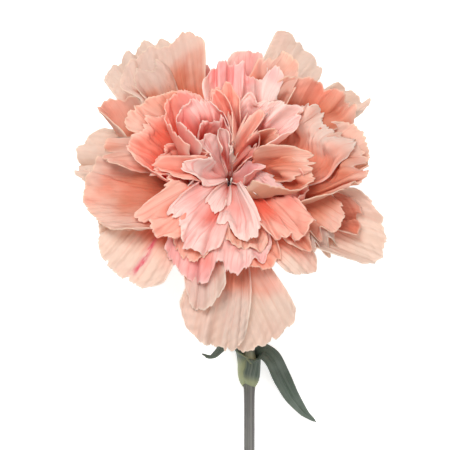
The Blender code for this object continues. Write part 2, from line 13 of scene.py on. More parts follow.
import bmesh
import bpy
import numpy as np
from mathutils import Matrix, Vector

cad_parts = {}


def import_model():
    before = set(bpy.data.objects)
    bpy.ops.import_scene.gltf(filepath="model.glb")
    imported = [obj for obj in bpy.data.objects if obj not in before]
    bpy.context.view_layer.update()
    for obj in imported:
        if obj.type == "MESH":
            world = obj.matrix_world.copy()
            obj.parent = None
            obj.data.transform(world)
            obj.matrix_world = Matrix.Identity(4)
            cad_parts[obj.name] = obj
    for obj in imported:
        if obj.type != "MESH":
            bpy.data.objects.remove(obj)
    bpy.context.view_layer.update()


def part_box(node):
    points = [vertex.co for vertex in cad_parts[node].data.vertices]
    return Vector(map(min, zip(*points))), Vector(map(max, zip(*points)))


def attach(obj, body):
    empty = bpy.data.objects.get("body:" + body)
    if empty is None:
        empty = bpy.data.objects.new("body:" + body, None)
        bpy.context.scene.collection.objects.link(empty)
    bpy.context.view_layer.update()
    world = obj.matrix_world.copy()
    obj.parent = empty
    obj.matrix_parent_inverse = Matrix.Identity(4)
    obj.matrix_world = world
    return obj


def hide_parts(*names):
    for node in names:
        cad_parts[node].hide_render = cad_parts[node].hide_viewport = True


LOG = logging.getLogger("carnation")
MM = 0.001
ROOT = "root"
Array = np.ndarray
Band = tuple[float, float]
Triple = tuple[float, float, float]
Colour = Triple
Piece = bpy.types.Object
Look = bpy.types.Material
Socket = bpy.types.NodeSocket


def smooth(value: Array) -> Array:
    """0 below 0, 1 above 1, and an even S between them."""
    value = np.clip(value, 0.0, 1.0)
    return value * value * (3.0 - 2.0 * value)


def rising(value: Array, band: Band) -> Array:
    """A smooth step from 0 to 1, over a band that is given by its start and its length."""
    return smooth((value - band[0]) / band[1])


def bell(away: Array, width: float) -> Array:
    """1 at 0, falling off to both sides."""
    return np.exp(-((away / width) ** 2))


def unit(rows: Array) -> Array:
    """The same directions with length 1."""
    return rows / np.linalg.norm(rows, axis=1, keepdims=True)


def through(values: Array, places: Array) -> Array:
    """Reads a smooth curve through evenly spaced values.

    Args:
        values: The values, one row for each knot.
        places: Where to read them, counted in knots from 0.

    Returns:
        One row for each place.
    """
    values = np.asarray(values, dtype=float)
    padded = np.concatenate((2 * values[:1] - values[1:2], values, 2 * values[-1:] - values[-2:-1]))
    first = np.clip(np.floor(places).astype(int), 0, len(values) - 2)
    part = (places - first)[..., None] if values.ndim > 1 else places - first
    before, start, end, after = (padded[first + step] for step in range(4))
    return 0.5 * (
        2 * start
        + (end - before) * part
        + (2 * before - 5 * start + 4 * end - after) * part**2
        + (3 * start - before - 3 * end + after) * part**3
    )


def round_path(middle: Array, forward: Array, turn: Array, radius: Array) -> Array:
    """Points on a round rod that follows a path.

    Args:
        middle: The path's place beside each point.
        forward: The way that the path runs there.
        turn: The point's angle round the path, in radians.
        radius: Its distance from the path.

    Returns:
        One row for each point.
    """
    across = unit(np.cross(forward, np.array((1.0, 0.0, 0.0))))
    other = unit(np.cross(across, forward))
    return middle + radius[:, None] * (np.cos(turn)[:, None] * other + np.sin(turn)[:, None] * across)


# ---- the workbench


class Workbench:
    """The modelling steps that every sub-assembly shares."""

    @staticmethod
    def single_out(made: Piece | None = None) -> None:
        """Selects one piece or none, so that the next operator acts on it alone.

        Args:
            made: The piece, or None before a new one is added.
        """
        bpy.ops.object.select_all(action="DESELECT")
        if made:
            made.select_set(True)
            bpy.context.view_layer.objects.active = made

    @staticmethod
    def named(name: str) -> Piece:
        """Names the primitive that was just added.

        Args:
            name: Its name.

        Returns:
            The piece.
        """
        made = bpy.context.object
        made.name = made.data.name = name
        return made

    @staticmethod
    def corners(made: Piece) -> Array:
        """Reads a piece's vertices.

        Args:
            made: The piece.

        Returns:
            One row for each vertex.
        """
        flat = np.empty(len(made.data.vertices) * 3, np.float32)
        made.data.vertices.foreach_get("co", flat)
        return flat.reshape(-1, 3).astype(float)

    @classmethod
    def sheet(cls, name: str, columns: int, rows: int) -> tuple[Piece, Array, Array]:
        """Adds a flat grid that has its own UV map.

        Args:
            name: The piece's name.
            columns: Its faces across.
            rows: Its faces along.

        Returns:
            The piece, with the place of each vertex across from -1 to 1 and along from 0 to 1.
        """
        cls.single_out()
        bpy.ops.mesh.primitive_grid_add(x_subdivisions=columns, y_subdivisions=rows, size=1.0)
        made = cls.named(name)
        flat = cls.corners(made)
        return made, np.clip(flat[:, 0] * 2.0, -1.0, 1.0), flat[:, 1] + 0.5

    @classmethod
    def rod(cls, name: str, sides: int, lengths: int) -> tuple[Piece, Array, Array]:
        """Adds a closed cylinder whose side is cut into rings.

        Args:
            name: The piece's name.
            sides: Its faces round the axis.
            lengths: Its faces along the axis.

        Returns:
            The piece, with the turn of each vertex in radians and its place along from 0 to 1.
        """
        cls.single_out()
        bpy.ops.mesh.primitive_cylinder_add(vertices=sides, radius=1.0, depth=1.0)
        made = cls.named(name)
        bpy.ops.object.mode_set(mode="EDIT")
        bpy.ops.mesh.select_all(action="DESELECT")
        bpy.ops.mesh.select_mode(type="EDGE")
        bm = bmesh.from_edit_mesh(made.data)
        for edge in bm.edges:
            low, high = (vertex.co.z for vertex in edge.verts)
            edge.select = abs(high - low) > 0.5
        bmesh.update_edit_mesh(made.data)
        bpy.ops.mesh.subdivide(number_cuts=lengths - 1)
        bpy.ops.object.mode_set(mode="OBJECT")
        flat = cls.corners(made)
        return made, np.arctan2(flat[:, 1], flat[:, 0]), 0.5 - flat[:, 2]

    @staticmethod
    def number(made: Piece, name: str, values: Array) -> None:
        """Stores one number for each vertex, for the piece's finish to read."""
        attribute = made.data.attributes.new(name, "FLOAT", "POINT")
        attribute.data.foreach_set("value", np.asarray(values, np.float32))

    @classmethod
    def place(cls, made: Piece, points: Array, **numbers: Array) -> None:
        """Moves the piece's vertices.

        Args:
            made: The piece.
            points: Their new places in millimetres.
            numbers: What its finish reads for each vertex, by name.
        """
        made.data.vertices.foreach_set("co", (points * MM).astype(np.float32).ravel())
        made.data.update()
        for name, values in numbers.items():
            cls.number(made, name, values)

    @classmethod
    def weld(cls, made: Piece) -> None:
        """Merges vertices that meet, so that seams and poles are closed.

        Args:
            made: The piece.
        """
        cls.single_out(made)
        bpy.ops.object.mode_set(mode="EDIT")
        bpy.ops.mesh.select_all(action="SELECT")
        bpy.ops.mesh.remove_doubles(threshold=1e-6)
        bpy.ops.mesh.normals_make_consistent(inside=False)
        bpy.ops.object.mode_set(mode="OBJECT")

    @classmethod
    def thicken(cls, made: Piece, thickness: float, offset: float = 0.0) -> None:
        """Gives an open sheet its thickness.

        Args:
            made: The piece.
            thickness: The thickness in millimetres.
            offset: Where the sheet lies in it, from -1 for its front to 1 for its back.
        """
        cls.single_out(made)
        wall = made.modifiers.new("Wall", "SOLIDIFY")
        wall.thickness = thickness * MM
        wall.offset = offset
        wall.use_even_offset = False
        bpy.ops.object.modifier_apply(modifier=wall.name)

    @staticmethod
    def finish(made: Piece, node: str, slot: str, look: Look) -> None:
        """Shades the piece smooth, dresses it and puts it in a CAD node's place.

        Args:
            made: The piece.
            node: The node that it stands for.
            slot: Its material slot; not used.
            look: Its finish.
        """
        made.data.shade_smooth()
        made.data.materials.append(look)
        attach(made, ROOT)
        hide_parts(node)
        LOG.info("%s: %d faces in place of %s", made.name, len(made.data.polygons), node)


# ---- the finishes


class Shading:
    """Builds a material's nodes from left to right."""

    def __init__(self, name: str) -> None:
        """Starts a material that has no node yet.

        Args:
            name: The material's name.
        """
        self.material = bpy.data.materials.new(name)
        self.material.use_nodes = True
        self.tree = self.material.node_tree
        self.tree.nodes.clear()

    def feed(self, value: object, target: Socket) -> None:
        """Gives an input its value.

        Args:
            value: An output to link to it, or a plain number, vector or colour.
            target: The input.
        """
        if isinstance(value, bpy.types.NodeSocket):
            self.tree.links.new(value, target)
        else:
            target.default_value = (*value, 1.0) if target.type == "RGBA" else value

    def node(self, kind: str, inputs: dict[str | int, object], **settings: object) -> bpy.types.Node:
        """Adds a node.

        Args:
            kind: The node's type.
            inputs: What feeds its inputs, by name or place.
            settings: Its properties.

        Returns:
            The node.
        """
        made = self.tree.nodes.new(kind)
        for key, value in settings.items():
            setattr(made, key, value)
        for key, value in inputs.items():
            self.feed(value, made.inputs[key])
        return made

    def stored(self, name: str) -> Socket:
        """Reads a number that is stored on the piece's vertices."""
        return self.node("ShaderNodeAttribute", {}, attribute_name=name).outputs["Fac"]

    def maths(self, operation: str, first: object, second: object) -> Socket:
        """One step of arithmetic."""
        return self.node("ShaderNodeMath", {0: first, 1: second}, operation=operation).outputs[0]

    def times(self, first: object, second: object) -> Socket:
        """The product of two numbers."""
        return self.maths("MULTIPLY", first, second)

    def between(self, value: object, low: float, high: float) -> Socket:
        """A smooth step from 0 at low to 1 at high."""
        inputs = {"Value": value, "From Min": low, "From Max": high}
        return self.node("ShaderNodeMapRange", inputs, interpolation_type="SMOOTHSTEP").outputs["Result"]

    def mix(self, share: object, first: object, second: object, blend: str = "MIX") -> Socket:
        """Mixes a share of the second colour into the first."""
        inputs = {"Factor": share, "A": first, "B": second}
        return self.node("ShaderNodeMix", inputs, data_type="RGBA", blend_type=blend).outputs["Result"]

    def noise(self, space: str, scale: Triple, detail: float) -> Socket:
        """Soft random blotches from 0 to 1.

        Args:
            space: The piece's own coordinates that they follow, "Object" or "UV".
            scale: How many there are along a unit of each axis.
            detail: How many finer layers they have.

        Returns:
            Their strength.
        """
        place = self.node("ShaderNodeTexCoord", {}).outputs[space]
        scaled = self.node("ShaderNodeMapping", {"Vector": place, "Scale": scale}).outputs["Vector"]
        inputs = {"Vector": scaled, "Scale": 1.0, "Detail": detail}
        return self.node("ShaderNodeTexNoise", inputs).outputs["Fac"]

    def bump(self, height: Socket, depth: float) -> Socket:
        """A relief that is depth millimetres deep."""
        inputs = {"Strength": 1.0, "Distance": depth * MM, "Height": height}
        return self.node("ShaderNodeBump", inputs).outputs["Normal"]

    def finished(self, surface: bpy.types.Node) -> Look:
        """Gives the material its surface."""
        self.node("ShaderNodeOutputMaterial", {"Surface": surface.outputs[0]})
        return self.material


class Tint(Enum):
    """The petal colours, which are also the names of their materials."""

    CORAL = "petal_coral"
    BLUSH = "petal_blush"
    CREAM = "petal_cream"
    TAN = "petal_tan"


@dataclass(frozen=True)
class PetalFinish:
    """Thin matte tissue that light passes through, with a deep base, a paler blade and a cream rim."""

    tint: Tint
    base: Colour
    blade: Colour
    outer: Colour
    edge: Colour
    back: Colour
    blush: Colour
    shade: Colour = (0.90, 0.80, 0.75)  # painted shade that multiplies the colours of the petals that lie back
    pale_rim_and_shade: Colour = (0.85, 0.745, 0.665)  # a greyer cream on the rims of those petals, partly their own paler rim and partly painted shade
    streak: Colour = (0.76, 0.13, 0.20)
    cloudiness: float = 0.8
    tone_share: float = 0.3
    patch_share: float = 0.6
    vein_share: float = 0.34
    back_share: float = 0.7
    pale_rim_and_shade_share: float = 0.75
    edge_share: float = 0.6
    roughness: float = 0.62
    light_through: float = 0.5
    relief: float = 0.2

    def face(self, made: Shading, veins: Socket) -> Socket:
        """Layers the colours of the blade.

        Args:
            made: The material.
            veins: The strength of the veins.

        Returns:
            The colour.
        """
        clouds = made.maths("SUBTRACT", made.noise("Object", (90.0, 90.0, 90.0), 2.0), 0.5)
        swept = made.maths("ADD", made.stored("run"), made.times(clouds, self.cloudiness))
        swept = made.maths("ADD", swept, made.times(made.stored("tone"), self.tone_share))
        lower = made.mix(made.between(swept, 0.3, 0.95), self.base, self.blade)
        face = made.mix(made.between(swept, 0.65, 1.15), lower, self.outer)
        patches = made.between(made.noise("Object", (55.0, 55.0, 88.0), 1.0), 0.5, 0.72)
        face = made.mix(made.times(patches, self.patch_share), face, self.blush)
        face = made.mix(made.times(made.between(veins, 0.52, 0.72), self.vein_share), face, self.base)
        face = made.mix(made.times(made.stored("back"), self.back_share), face, self.back)
        # Painted shade: the petals that lie back are darkened in their colour.
        shade = made.stored("shade")
        face = made.mix(shade, face, self.shade, "MULTIPLY")
        # Their rims turn a greyer cream: partly the rims' own paler colour, partly painted shade.
        pale_rim_and_shade = made.times(made.between(swept, 0.72, 1.2), shade)
        face = made.mix(made.times(pale_rim_and_shade, self.pale_rim_and_shade_share), face, self.pale_rim_and_shade)
        mottled = made.between(made.noise("UV", (30.0, 12.0, 1.0), 4.0), 0.3, 0.6)
        face = made.mix(made.times(made.stored("streak"), mottled), face, self.streak)
        return made.mix(made.times(made.stored("edge"), self.edge_share), face, self.edge)

    def material(self) -> Look:
        """Builds the finish, which is part matte tissue and part light that shines through it.

        Returns:
            The material.
        """
        made = Shading(self.tint.value)
        veins = made.noise("UV", (46.0, 2.2, 1.0), 3.0)
        grain = made.noise("UV", (70.0, 9.0, 1.0), 4.0)
        face = self.face(made, veins)
        relief = made.maths("ADD", veins, made.times(grain, 0.5))
        inputs = {
            "Base Color": face,
            "Roughness": self.roughness,
            "Sheen Weight": 0.1,
            "Sheen Roughness": 0.5,
            "Specular IOR Level": 0.25,
            "Normal": made.bump(relief, self.relief),
        }
        tissue = made.node("ShaderNodeBsdfPrincipled", inputs)
        glow = made.node("ShaderNodeBsdfTranslucent", {"Color": made.mix(1.0, face, face, "MULTIPLY")})
        inputs = {"Fac": self.light_through, 1: tissue.outputs[0], 2: glow.outputs[0]}
        return made.finished(made.node("ShaderNodeMixShader", inputs))


PETAL_FINISHES = (
    PetalFinish(
        Tint.CORAL,
        base=(0.88, 0.11, 0.06),
        blade=(0.94, 0.30, 0.19),
        outer=(0.98, 0.68, 0.55),
        edge=(0.98, 0.86, 0.75),
        back=(0.95, 0.50, 0.38),
        blush=(0.93, 0.32, 0.30),
    ),
    PetalFinish(
        Tint.BLUSH,
        base=(0.90, 0.14, 0.09),
        blade=(0.95, 0.38, 0.31),
        outer=(0.99, 0.84, 0.79),
        edge=(0.98, 0.92, 0.85),
        back=(0.97, 0.70, 0.60),
        blush=(0.95, 0.42, 0.42),
    ),
    PetalFinish(
        Tint.CREAM,
        base=(0.88, 0.24, 0.11),
        blade=(0.93, 0.55, 0.42),
        outer=(0.94, 0.85, 0.77),
        edge=(0.96, 0.91, 0.83),
        back=(0.90, 0.74, 0.62),
        blush=(0.95, 0.58, 0.52),
    ),
    PetalFinish(
        Tint.TAN,
        base=(0.80, 0.18, 0.09),
        blade=(0.88, 0.40, 0.24),
        outer=(0.95, 0.70, 0.58),
        edge=(0.96, 0.86, 0.72),
        back=(0.86, 0.55, 0.37),
        blush=(0.93, 0.42, 0.30),
    ),
)


@dataclass(frozen=True)
class GreenFinish:
    """Waxy green tissue with fine lines along it."""

    name: str
    deep: Colour
    pale: Colour
    wax: Colour
    lines: Triple = (60.0, 2.0, 1.0)  # how many there are across, along and through
    bleached: Colour = (0.40, 0.44, 0.23)  # where a piece is pale
    wax_share: float = 0.45
    roughness: float = 0.5
    relief: float = 0.12

    def material(self) -> Look:
        """Builds the finish.

        Returns:
            The material.
        """
        made = Shading(self.name)
        streaks = made.noise("UV", self.lines, 4.0)
        body = made.mix(made.between(streaks, 0.35, 0.7), self.deep, self.pale)
        waxed = made.between(made.noise("Object", (160.0, 160.0, 160.0), 4.0), 0.4, 0.7)
        body = made.mix(made.times(waxed, self.wax_share), body, self.wax)
        inputs = {
            "Base Color": made.mix(made.stored("pale"), body, self.bleached),
            "Roughness": self.roughness,
            "Subsurface Weight": 0.08,
            "Subsurface Radius": (0.6, 1.0, 0.3),
            "Subsurface Scale": MM,
            "Normal": made.bump(streaks, self.relief),
        }
        return made.finished(made.node("ShaderNodeBsdfPrincipled", inputs))


STEM_FINISH = GreenFinish(
    "stem_skin", (0.055, 0.055, 0.05), (0.19, 0.19, 0.175), (0.16, 0.16, 0.15), (13.0, 0.8, 1.0)
)
LEAF_FINISH = GreenFinish(
    "leaf_skin", (0.055, 0.085, 0.06), (0.14, 0.175, 0.14), (0.18, 0.22, 0.19), (26.0, 1.2, 1.0)
)
CALYX_FINISH = GreenFinish("calyx_skin", (0.13, 0.22, 0.09), (0.25, 0.36, 0.16), (0.36, 0.44, 0.28))
HEART_FINISH = GreenFinish("heart_skin", (0.22, 0.30, 0.10), (0.36, 0.44, 0.18), (0.45, 0.50, 0.28))
STYLE_FINISH = GreenFinish("style_skin", (0.72, 0.62, 0.52), (0.88, 0.80, 0.72), (0.92, 0.88, 0.82))


# ---- the bloom's space


@dataclass(frozen=True)
class BloomSpace:
    """The bloom's polar coordinates, in the object's frame."""

    centre: Array
    tilt: float = math.radians(28.0)
    drawn_height: float = 11.0

    @property
    def across(self) -> Array:
        """The direction of azimuth 0."""
        return np.array((1.0, 0.0, 0.0))

    @property
    def backward(self) -> Array:
        """The direction of azimuth 90."""
        return np.array((0.0, math.cos(self.tilt), -math.sin(self.tilt)))

    @property
    def axis(self) -> Array:
        """The direction that the bloom faces."""
        return np.array((0.0, math.sin(self.tilt), math.cos(self.tilt)))

    @property
    def drawn_centre(self) -> Array:
        """Where the bloom's centre is in the sizes of the stem and the leaves."""
        return np.array((0.0, 0.0, self.drawn_height))

    def point(self, azimuth: Array, lean: Array, distance: Array) -> Array:
        """Points in the object's frame.

        Args:
            azimuth: Their azimuths in radians.
            lean: Their leans in radians.
            distance: Their distances.

        Returns:
            One row for each point.
        """
        out = distance * np.sin(lean)
        return (
            self.centre
            + np.multiply.outer(out * np.cos(azimuth), self.across)
            + np.multiply.outer(out * np.sin(azimuth), self.backward)
            + np.multiply.outer(distance * np.cos(lean), self.axis)
        )

    def round_axis(self, azimuth: Array, radius: Array, height: Array) -> Array:
        """Points from an azimuth in radians, a radius and a height along the axis."""
        azimuth, radius, height = np.broadcast_arrays(azimuth, radius, height)
        return self.point(azimuth, np.arctan2(radius, height), np.hypot(radius, height))

    @classmethod
    def from_frame(cls, ovary_height: float) -> "BloomSpace":
        """Finds the space from where the ovary sits in the frame.

        Args:
            ovary_height: The height of the ovary's middle along the axis.

        Returns:
            The space.
        """
        low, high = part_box("ovary")
        middle = np.array((low + high) / 2.0) / MM
        return cls(middle - ovary_height * cls(np.zeros(3)).axis)


# ---- the petals


@dataclass(frozen=True)
class Petal:
    """One petal: where it lies, how its blade bends, and how its rim is ruffled."""

    azimuth: float
    lean: float
    reach: float
    width: float
    flare: float  # below 1 the blade bends outwards sooner
    cup: float  # degrees by which its sides bend towards the axis
    skew: float  # degrees by which one side leans out further
    tint: Tint
    ruffle: float = 1.1  # height of the broad folds at the rim
    curl: float | None = None  # degrees by which the rim turns outwards, or drawn by lot
    bulge: float = 0.0  # degrees by which the middle of the blade bends towards the axis
    ridges: tuple[Triple, ...] = ()  # place across, half width and height of each
    slant: float = 0.0  # length by which the rim rises from one side to the other
    widening: float = 0.85  # below 1 the blade widens sooner
    sweep: float = 0.0  # degrees by which the blade swings sideways on its way to the rim
    streak: float = 0.0  # where across the blade a dark streak runs, from -1 to 1, or 0 for none
    tone: float = 0.0  # below 0 darker and redder, above 0 paler


CORAL, BLUSH, CREAM, TAN = Tint
PETALS = (
    # lying back on the surface
    Petal(118.5, 76, 59, 21, 0.45, 4, 6, CREAM, ruffle=0.45, sweep=-10, tone=1),
    Petal(67, 80, 61.5, 18, 0.45, 4, -4, CREAM, ruffle=0.45, curl=-10, slant=14, tone=1.3),
    Petal(98, 70, 46, 18, 0.45, 3, 0, BLUSH),
    Petal(163, 64, 51.5, 20, 0.45, 6, 0, CREAM, ruffle=1.2, slant=-3, tone=0.9),
    Petal(145, 55, 52, 13, 0.45, 12, 0, TAN, ruffle=0.6, curl=-14, sweep=-22, tone=0.1),
    Petal(40, 63, 56, 12, 0.45, 6, 0, CREAM, curl=6, tone=1),
    Petal(
        285, 72, 44.3, 21, 0.42, 4, -4, CREAM, ruffle=0.6, curl=6, ridges=((0.1, 0.25, -2.2),),
        sweep=9, tone=1,
    ),
    Petal(
        262, 69, 45, 20, 0.55, 6, 5, CREAM, ruffle=0.9, ridges=((-0.1, 0.16, 2.6), (0.4, 0.1, 1.4)),
        sweep=-7, tone=0.9,
    ),
    Petal(341, 68, 46.5, 25, 0.4, 16, 0, CREAM, ruffle=0.4, curl=-14, tone=1.1),
    Petal(214, 59, 45.5, 32, 0.4, 5, 0, CREAM, ruffle=0.6, curl=-8, sweep=14, streak=0.4, tone=1.1),
    # second tier
    Petal(21, 54, 48, 18, 0.6, 8, -7, TAN, ruffle=1.3, sweep=20, tone=0.5),
    Petal(348, 60, 45, 12, 0.5, 4, 0, TAN, tone=-0.5),
    Petal(
        115, 62, 60, 28, 0.5, 5, 5, TAN, ruffle=0.45, ridges=((-0.65, 0.12, 2.6), (0.1, 0.12, 1.4)),
        slant=-7, sweep=-16, tone=0.7,
    ),
    Petal(325, 53, 44, 28, 0.6, 6, 0, CREAM, ruffle=1, tone=0.6),
    Petal(187, 55, 48, 33, 0.6, 8, -5, TAN, ruffle=0.7, curl=-5, bulge=4, sweep=-14, tone=0.7),
    Petal(80, 50, 54, 15, 0.6, 10, 6, BLUSH, ruffle=0.6, ridges=((-0.2, 0.14, 2.6),), sweep=8, tone=0.7),
    Petal(125, 57, 53, 15, 0.6, 8, -7, TAN, ruffle=0.5, sweep=-14, tone=0.3),
    Petal(164, 48, 49, 16, 0.6, 8, 0, TAN, sweep=10, tone=0.3),
    Petal(46, 50, 52, 22, 0.7, 6, -9, TAN, ruffle=1.2, sweep=16, tone=-0.2),
    Petal(63, 47, 54, 17, 0.7, 8, 7, TAN, ruffle=0.7, sweep=-10, tone=0.2),
    Petal(
        257.5, 56, 43, 13, 0.6, 8, 0, CREAM, ruffle=0.8, curl=-8, ridges=((0.35, 0.25, 2.6),),
        sweep=10, tone=1.1,
    ),
    Petal(331, 47, 45, 24, 0.6, 6, 3, TAN, ruffle=1, sweep=-12),
    # third tier
    Petal(6, 51, 48.5, 24, 0.8, 8, 6, TAN, ruffle=1.2, sweep=30, tone=0.2),
    Petal(134, 36, 52, 22, 0.7, 4, 7, TAN, ruffle=0.6, curl=-2, widening=0.6, sweep=16, tone=0.2),
    Petal(33, 45, 50, 22, 0.8, 4, -9, CREAM, ruffle=1, curl=6, sweep=36, tone=0.2),
    Petal(
        162, 37, 50, 26, 0.8, 6, -7, CORAL, ruffle=0.7, curl=0, bulge=2, widening=0.6,
        sweep=-20, tone=0.1,
    ),
    Petal(300, 43, 43, 30, 0.7, 6, 4, TAN, ruffle=1, curl=10, widening=0.6, sweep=18, tone=-0.1),
    Petal(260, 46, 43.5, 36, 0.8, 6, 0, BLUSH, ruffle=0.9, curl=12, widening=0.6, sweep=-8, tone=0.8),
    Petal(262, 40, 42.5, 32, 0.8, 4, 0, TAN, ruffle=0.8, curl=4, widening=0.6, sweep=8, tone=0.3),
    Petal(
        194, 37, 46, 34, 0.7, 6, 5, CORAL, ruffle=0.9, curl=4, bulge=4, widening=0.45,
        sweep=8, tone=0.5,
    ),
    Petal(330, 37, 45.5, 26, 0.8, 8, -4, CORAL, ruffle=2.4, curl=-6, widening=0.6, sweep=-16, tone=0.7),
    Petal(
        83, 40, 53, 27, 0.8, 6, -4, BLUSH, ruffle=1.3,
        ridges=((0.45, 0.2, 2.2), (-0.35, 0.25, -2.4)), widening=0.6, sweep=6, tone=1.4,
    ),
    Petal(47, 33, 52, 25, 0.8, 12, 9, BLUSH, ruffle=0.9, curl=10, widening=0.6, sweep=-14, tone=1),
    Petal(
        227, 33, 44.5, 27, 0.8, 4, 6, BLUSH, ruffle=1.4, curl=6,
        ridges=((0, 0.14, -2.4), (0.45, 0.15, 1.6)), widening=0.5, tone=0.6,
    ),
    # standing petals
    Petal(346, 31, 47, 18, 0.9, 14, 6, TAN, ruffle=0.2, curl=-8, widening=0.5, sweep=20, tone=-0.2),
    Petal(
        99, 33, 51, 20, 0.8, 12, 4, CORAL, ruffle=1.4, curl=-8, bulge=-4, widening=0.5,
        sweep=-12, tone=0.3,
    ),
    Petal(
        118, 31, 52, 38, 0.6, 22, 5, CORAL, ruffle=0.6, curl=-14, bulge=-5,
        ridges=((0.5, 0.08, 1.4), (-0.45, 0.08, 1.4)), widening=0.5, tone=0.1,
    ),
    Petal(18, 27, 49, 22, 0.9, 8, -7, TAN, ruffle=1.2, curl=6, widening=0.6, sweep=-20, tone=0.1),
    Petal(
        302, 32, 41.5, 32, 0.9, 0, 3, BLUSH, ruffle=0.6, curl=2, bulge=4,
        ridges=((-0.3, 0.2, 1.6), (0.5, 0.2, -1.2)), widening=0.35, sweep=-40, tone=1.2,
    ),
    Petal(
        124, 26, 51, 25, 0.6, 16, 0, BLUSH, ruffle=1.2, curl=-12, bulge=-5,
        ridges=((0.3, 0.12, 1.8), (-0.2, 0.12, 1.8), (-0.65, 0.1, 1.2)), widening=0.5, tone=-0.4,
    ),
    Petal(
        173, 33, 47, 22, 0.9, 0, -9, CORAL, ruffle=0.5, ridges=((0.1, 0.2, 1.8),), widening=0.5,
        sweep=8, tone=0.1,
    ),
    Petal(64, 25, 47.5, 18, 0.9, 6, 9, CORAL, ruffle=1.8, curl=-4, widening=0.6, sweep=20, tone=0.2),
    Petal(
        246, 20, 39, 10.5, 0.9, 0, 0, BLUSH, ruffle=3.2, curl=10, ridges=((0.2, 0.15, 1),),
        widening=0.4, tone=0.9,
    ),
    Petal(
        104, 20, 50, 16, 0.7, 12, 8, BLUSH, ruffle=1.4, curl=-10, bulge=-4, widening=0.5,
        sweep=-10, tone=-0.4,
    ),
    Petal(
        151, 16.5, 47, 17, 0.9, 2, 3, BLUSH, ruffle=0.5, curl=-4, bulge=2,
        ridges=((0.1, 0.25, 1.8),), widening=0.4, sweep=-26, tone=1.5,
    ),
    Petal(28, 11, 43, 12, 1.2, 3, 0, BLUSH, ruffle=1.6, curl=16, widening=0.6, sweep=30, tone=1),
    Petal(52, 14, 45, 14, 1, 3, -4, CORAL, ruffle=2, curl=6, widening=0.6, sweep=-40, tone=0.7),
    Petal(94, 14, 48.5, 12, 0.8, 10, 0, BLUSH, ruffle=1.2, curl=-6, sweep=20, tone=0.6),
)


@dataclass(frozen=True)
class Ring:
    """A ring of petals that stand evenly spaced on the receptacle."""

    petals: int
    foot_radius: float
    mouth_radius: float
    foot_distance: float


@dataclass(frozen=True)
class BladeForm:
    """What all petals share."""

    wave_seed: int = 100
    fold_seed: int = 500
    tooth_seed: int = 700
    rim_seed: int = 900
    claw_width: float = 1.0
    calyx_mouth: float = 28.0
    spread_from: float = 31.0  # distance at which the blade starts
    ease: float = 0.06
    past_rim: float = 1.1  # share of its length up to which a blade's curve is worked out
    steps: int = 400
    probe: float = 0.1  # step over which steepness is measured
    most_steep: float = 2.5
    drift_from: float = 16.0
    drift_to: float = 40.0
    sweep_band: Band = (26.0, 6.0)
    most_wrap: float = math.radians(62.0)
    wave_pitch: float = 9.5
    fold_depth: float = 2.2
    frill_depth: float = 0.9
    crumple_depth: float = 0.26
    billow_depth: float = 0.9
    creases: int = 3
    crease_depth: float = 0.9
    crease_width: float = 1.3
    full_folds_from: float = 20.0  # shorter blades have lower folds
    drawn_curl: Band = (-14.0, 16.0)  # least and most
    curl_depth: float = 0.26  # for each degree
    curl_band: Band = (0.6, 0.5)  # share of the blade over which it grows
    bulge_depth: float = 0.012  # for each degree, as a share of the blade's length
    corners: float = 0.08
    rounding: float = 5.0
    lobes: int = 6
    lobe_depth: float = 1.5
    nicks: int = 15
    nick_depth: float = 0.8
    tooth_width: float = 0.8
    fewest_teeth: int = 9
    tooth_shares: Band = (0.35, 1.65)  # least and most of the mean width
    tooth_depths: Band = (0.15, 0.85)  # least and most
    tooth_peaks: Band = (0.3, 0.7)  # least and most share of the width at which a tooth is highest
    splits: int = 2
    split_width: float = 0.9


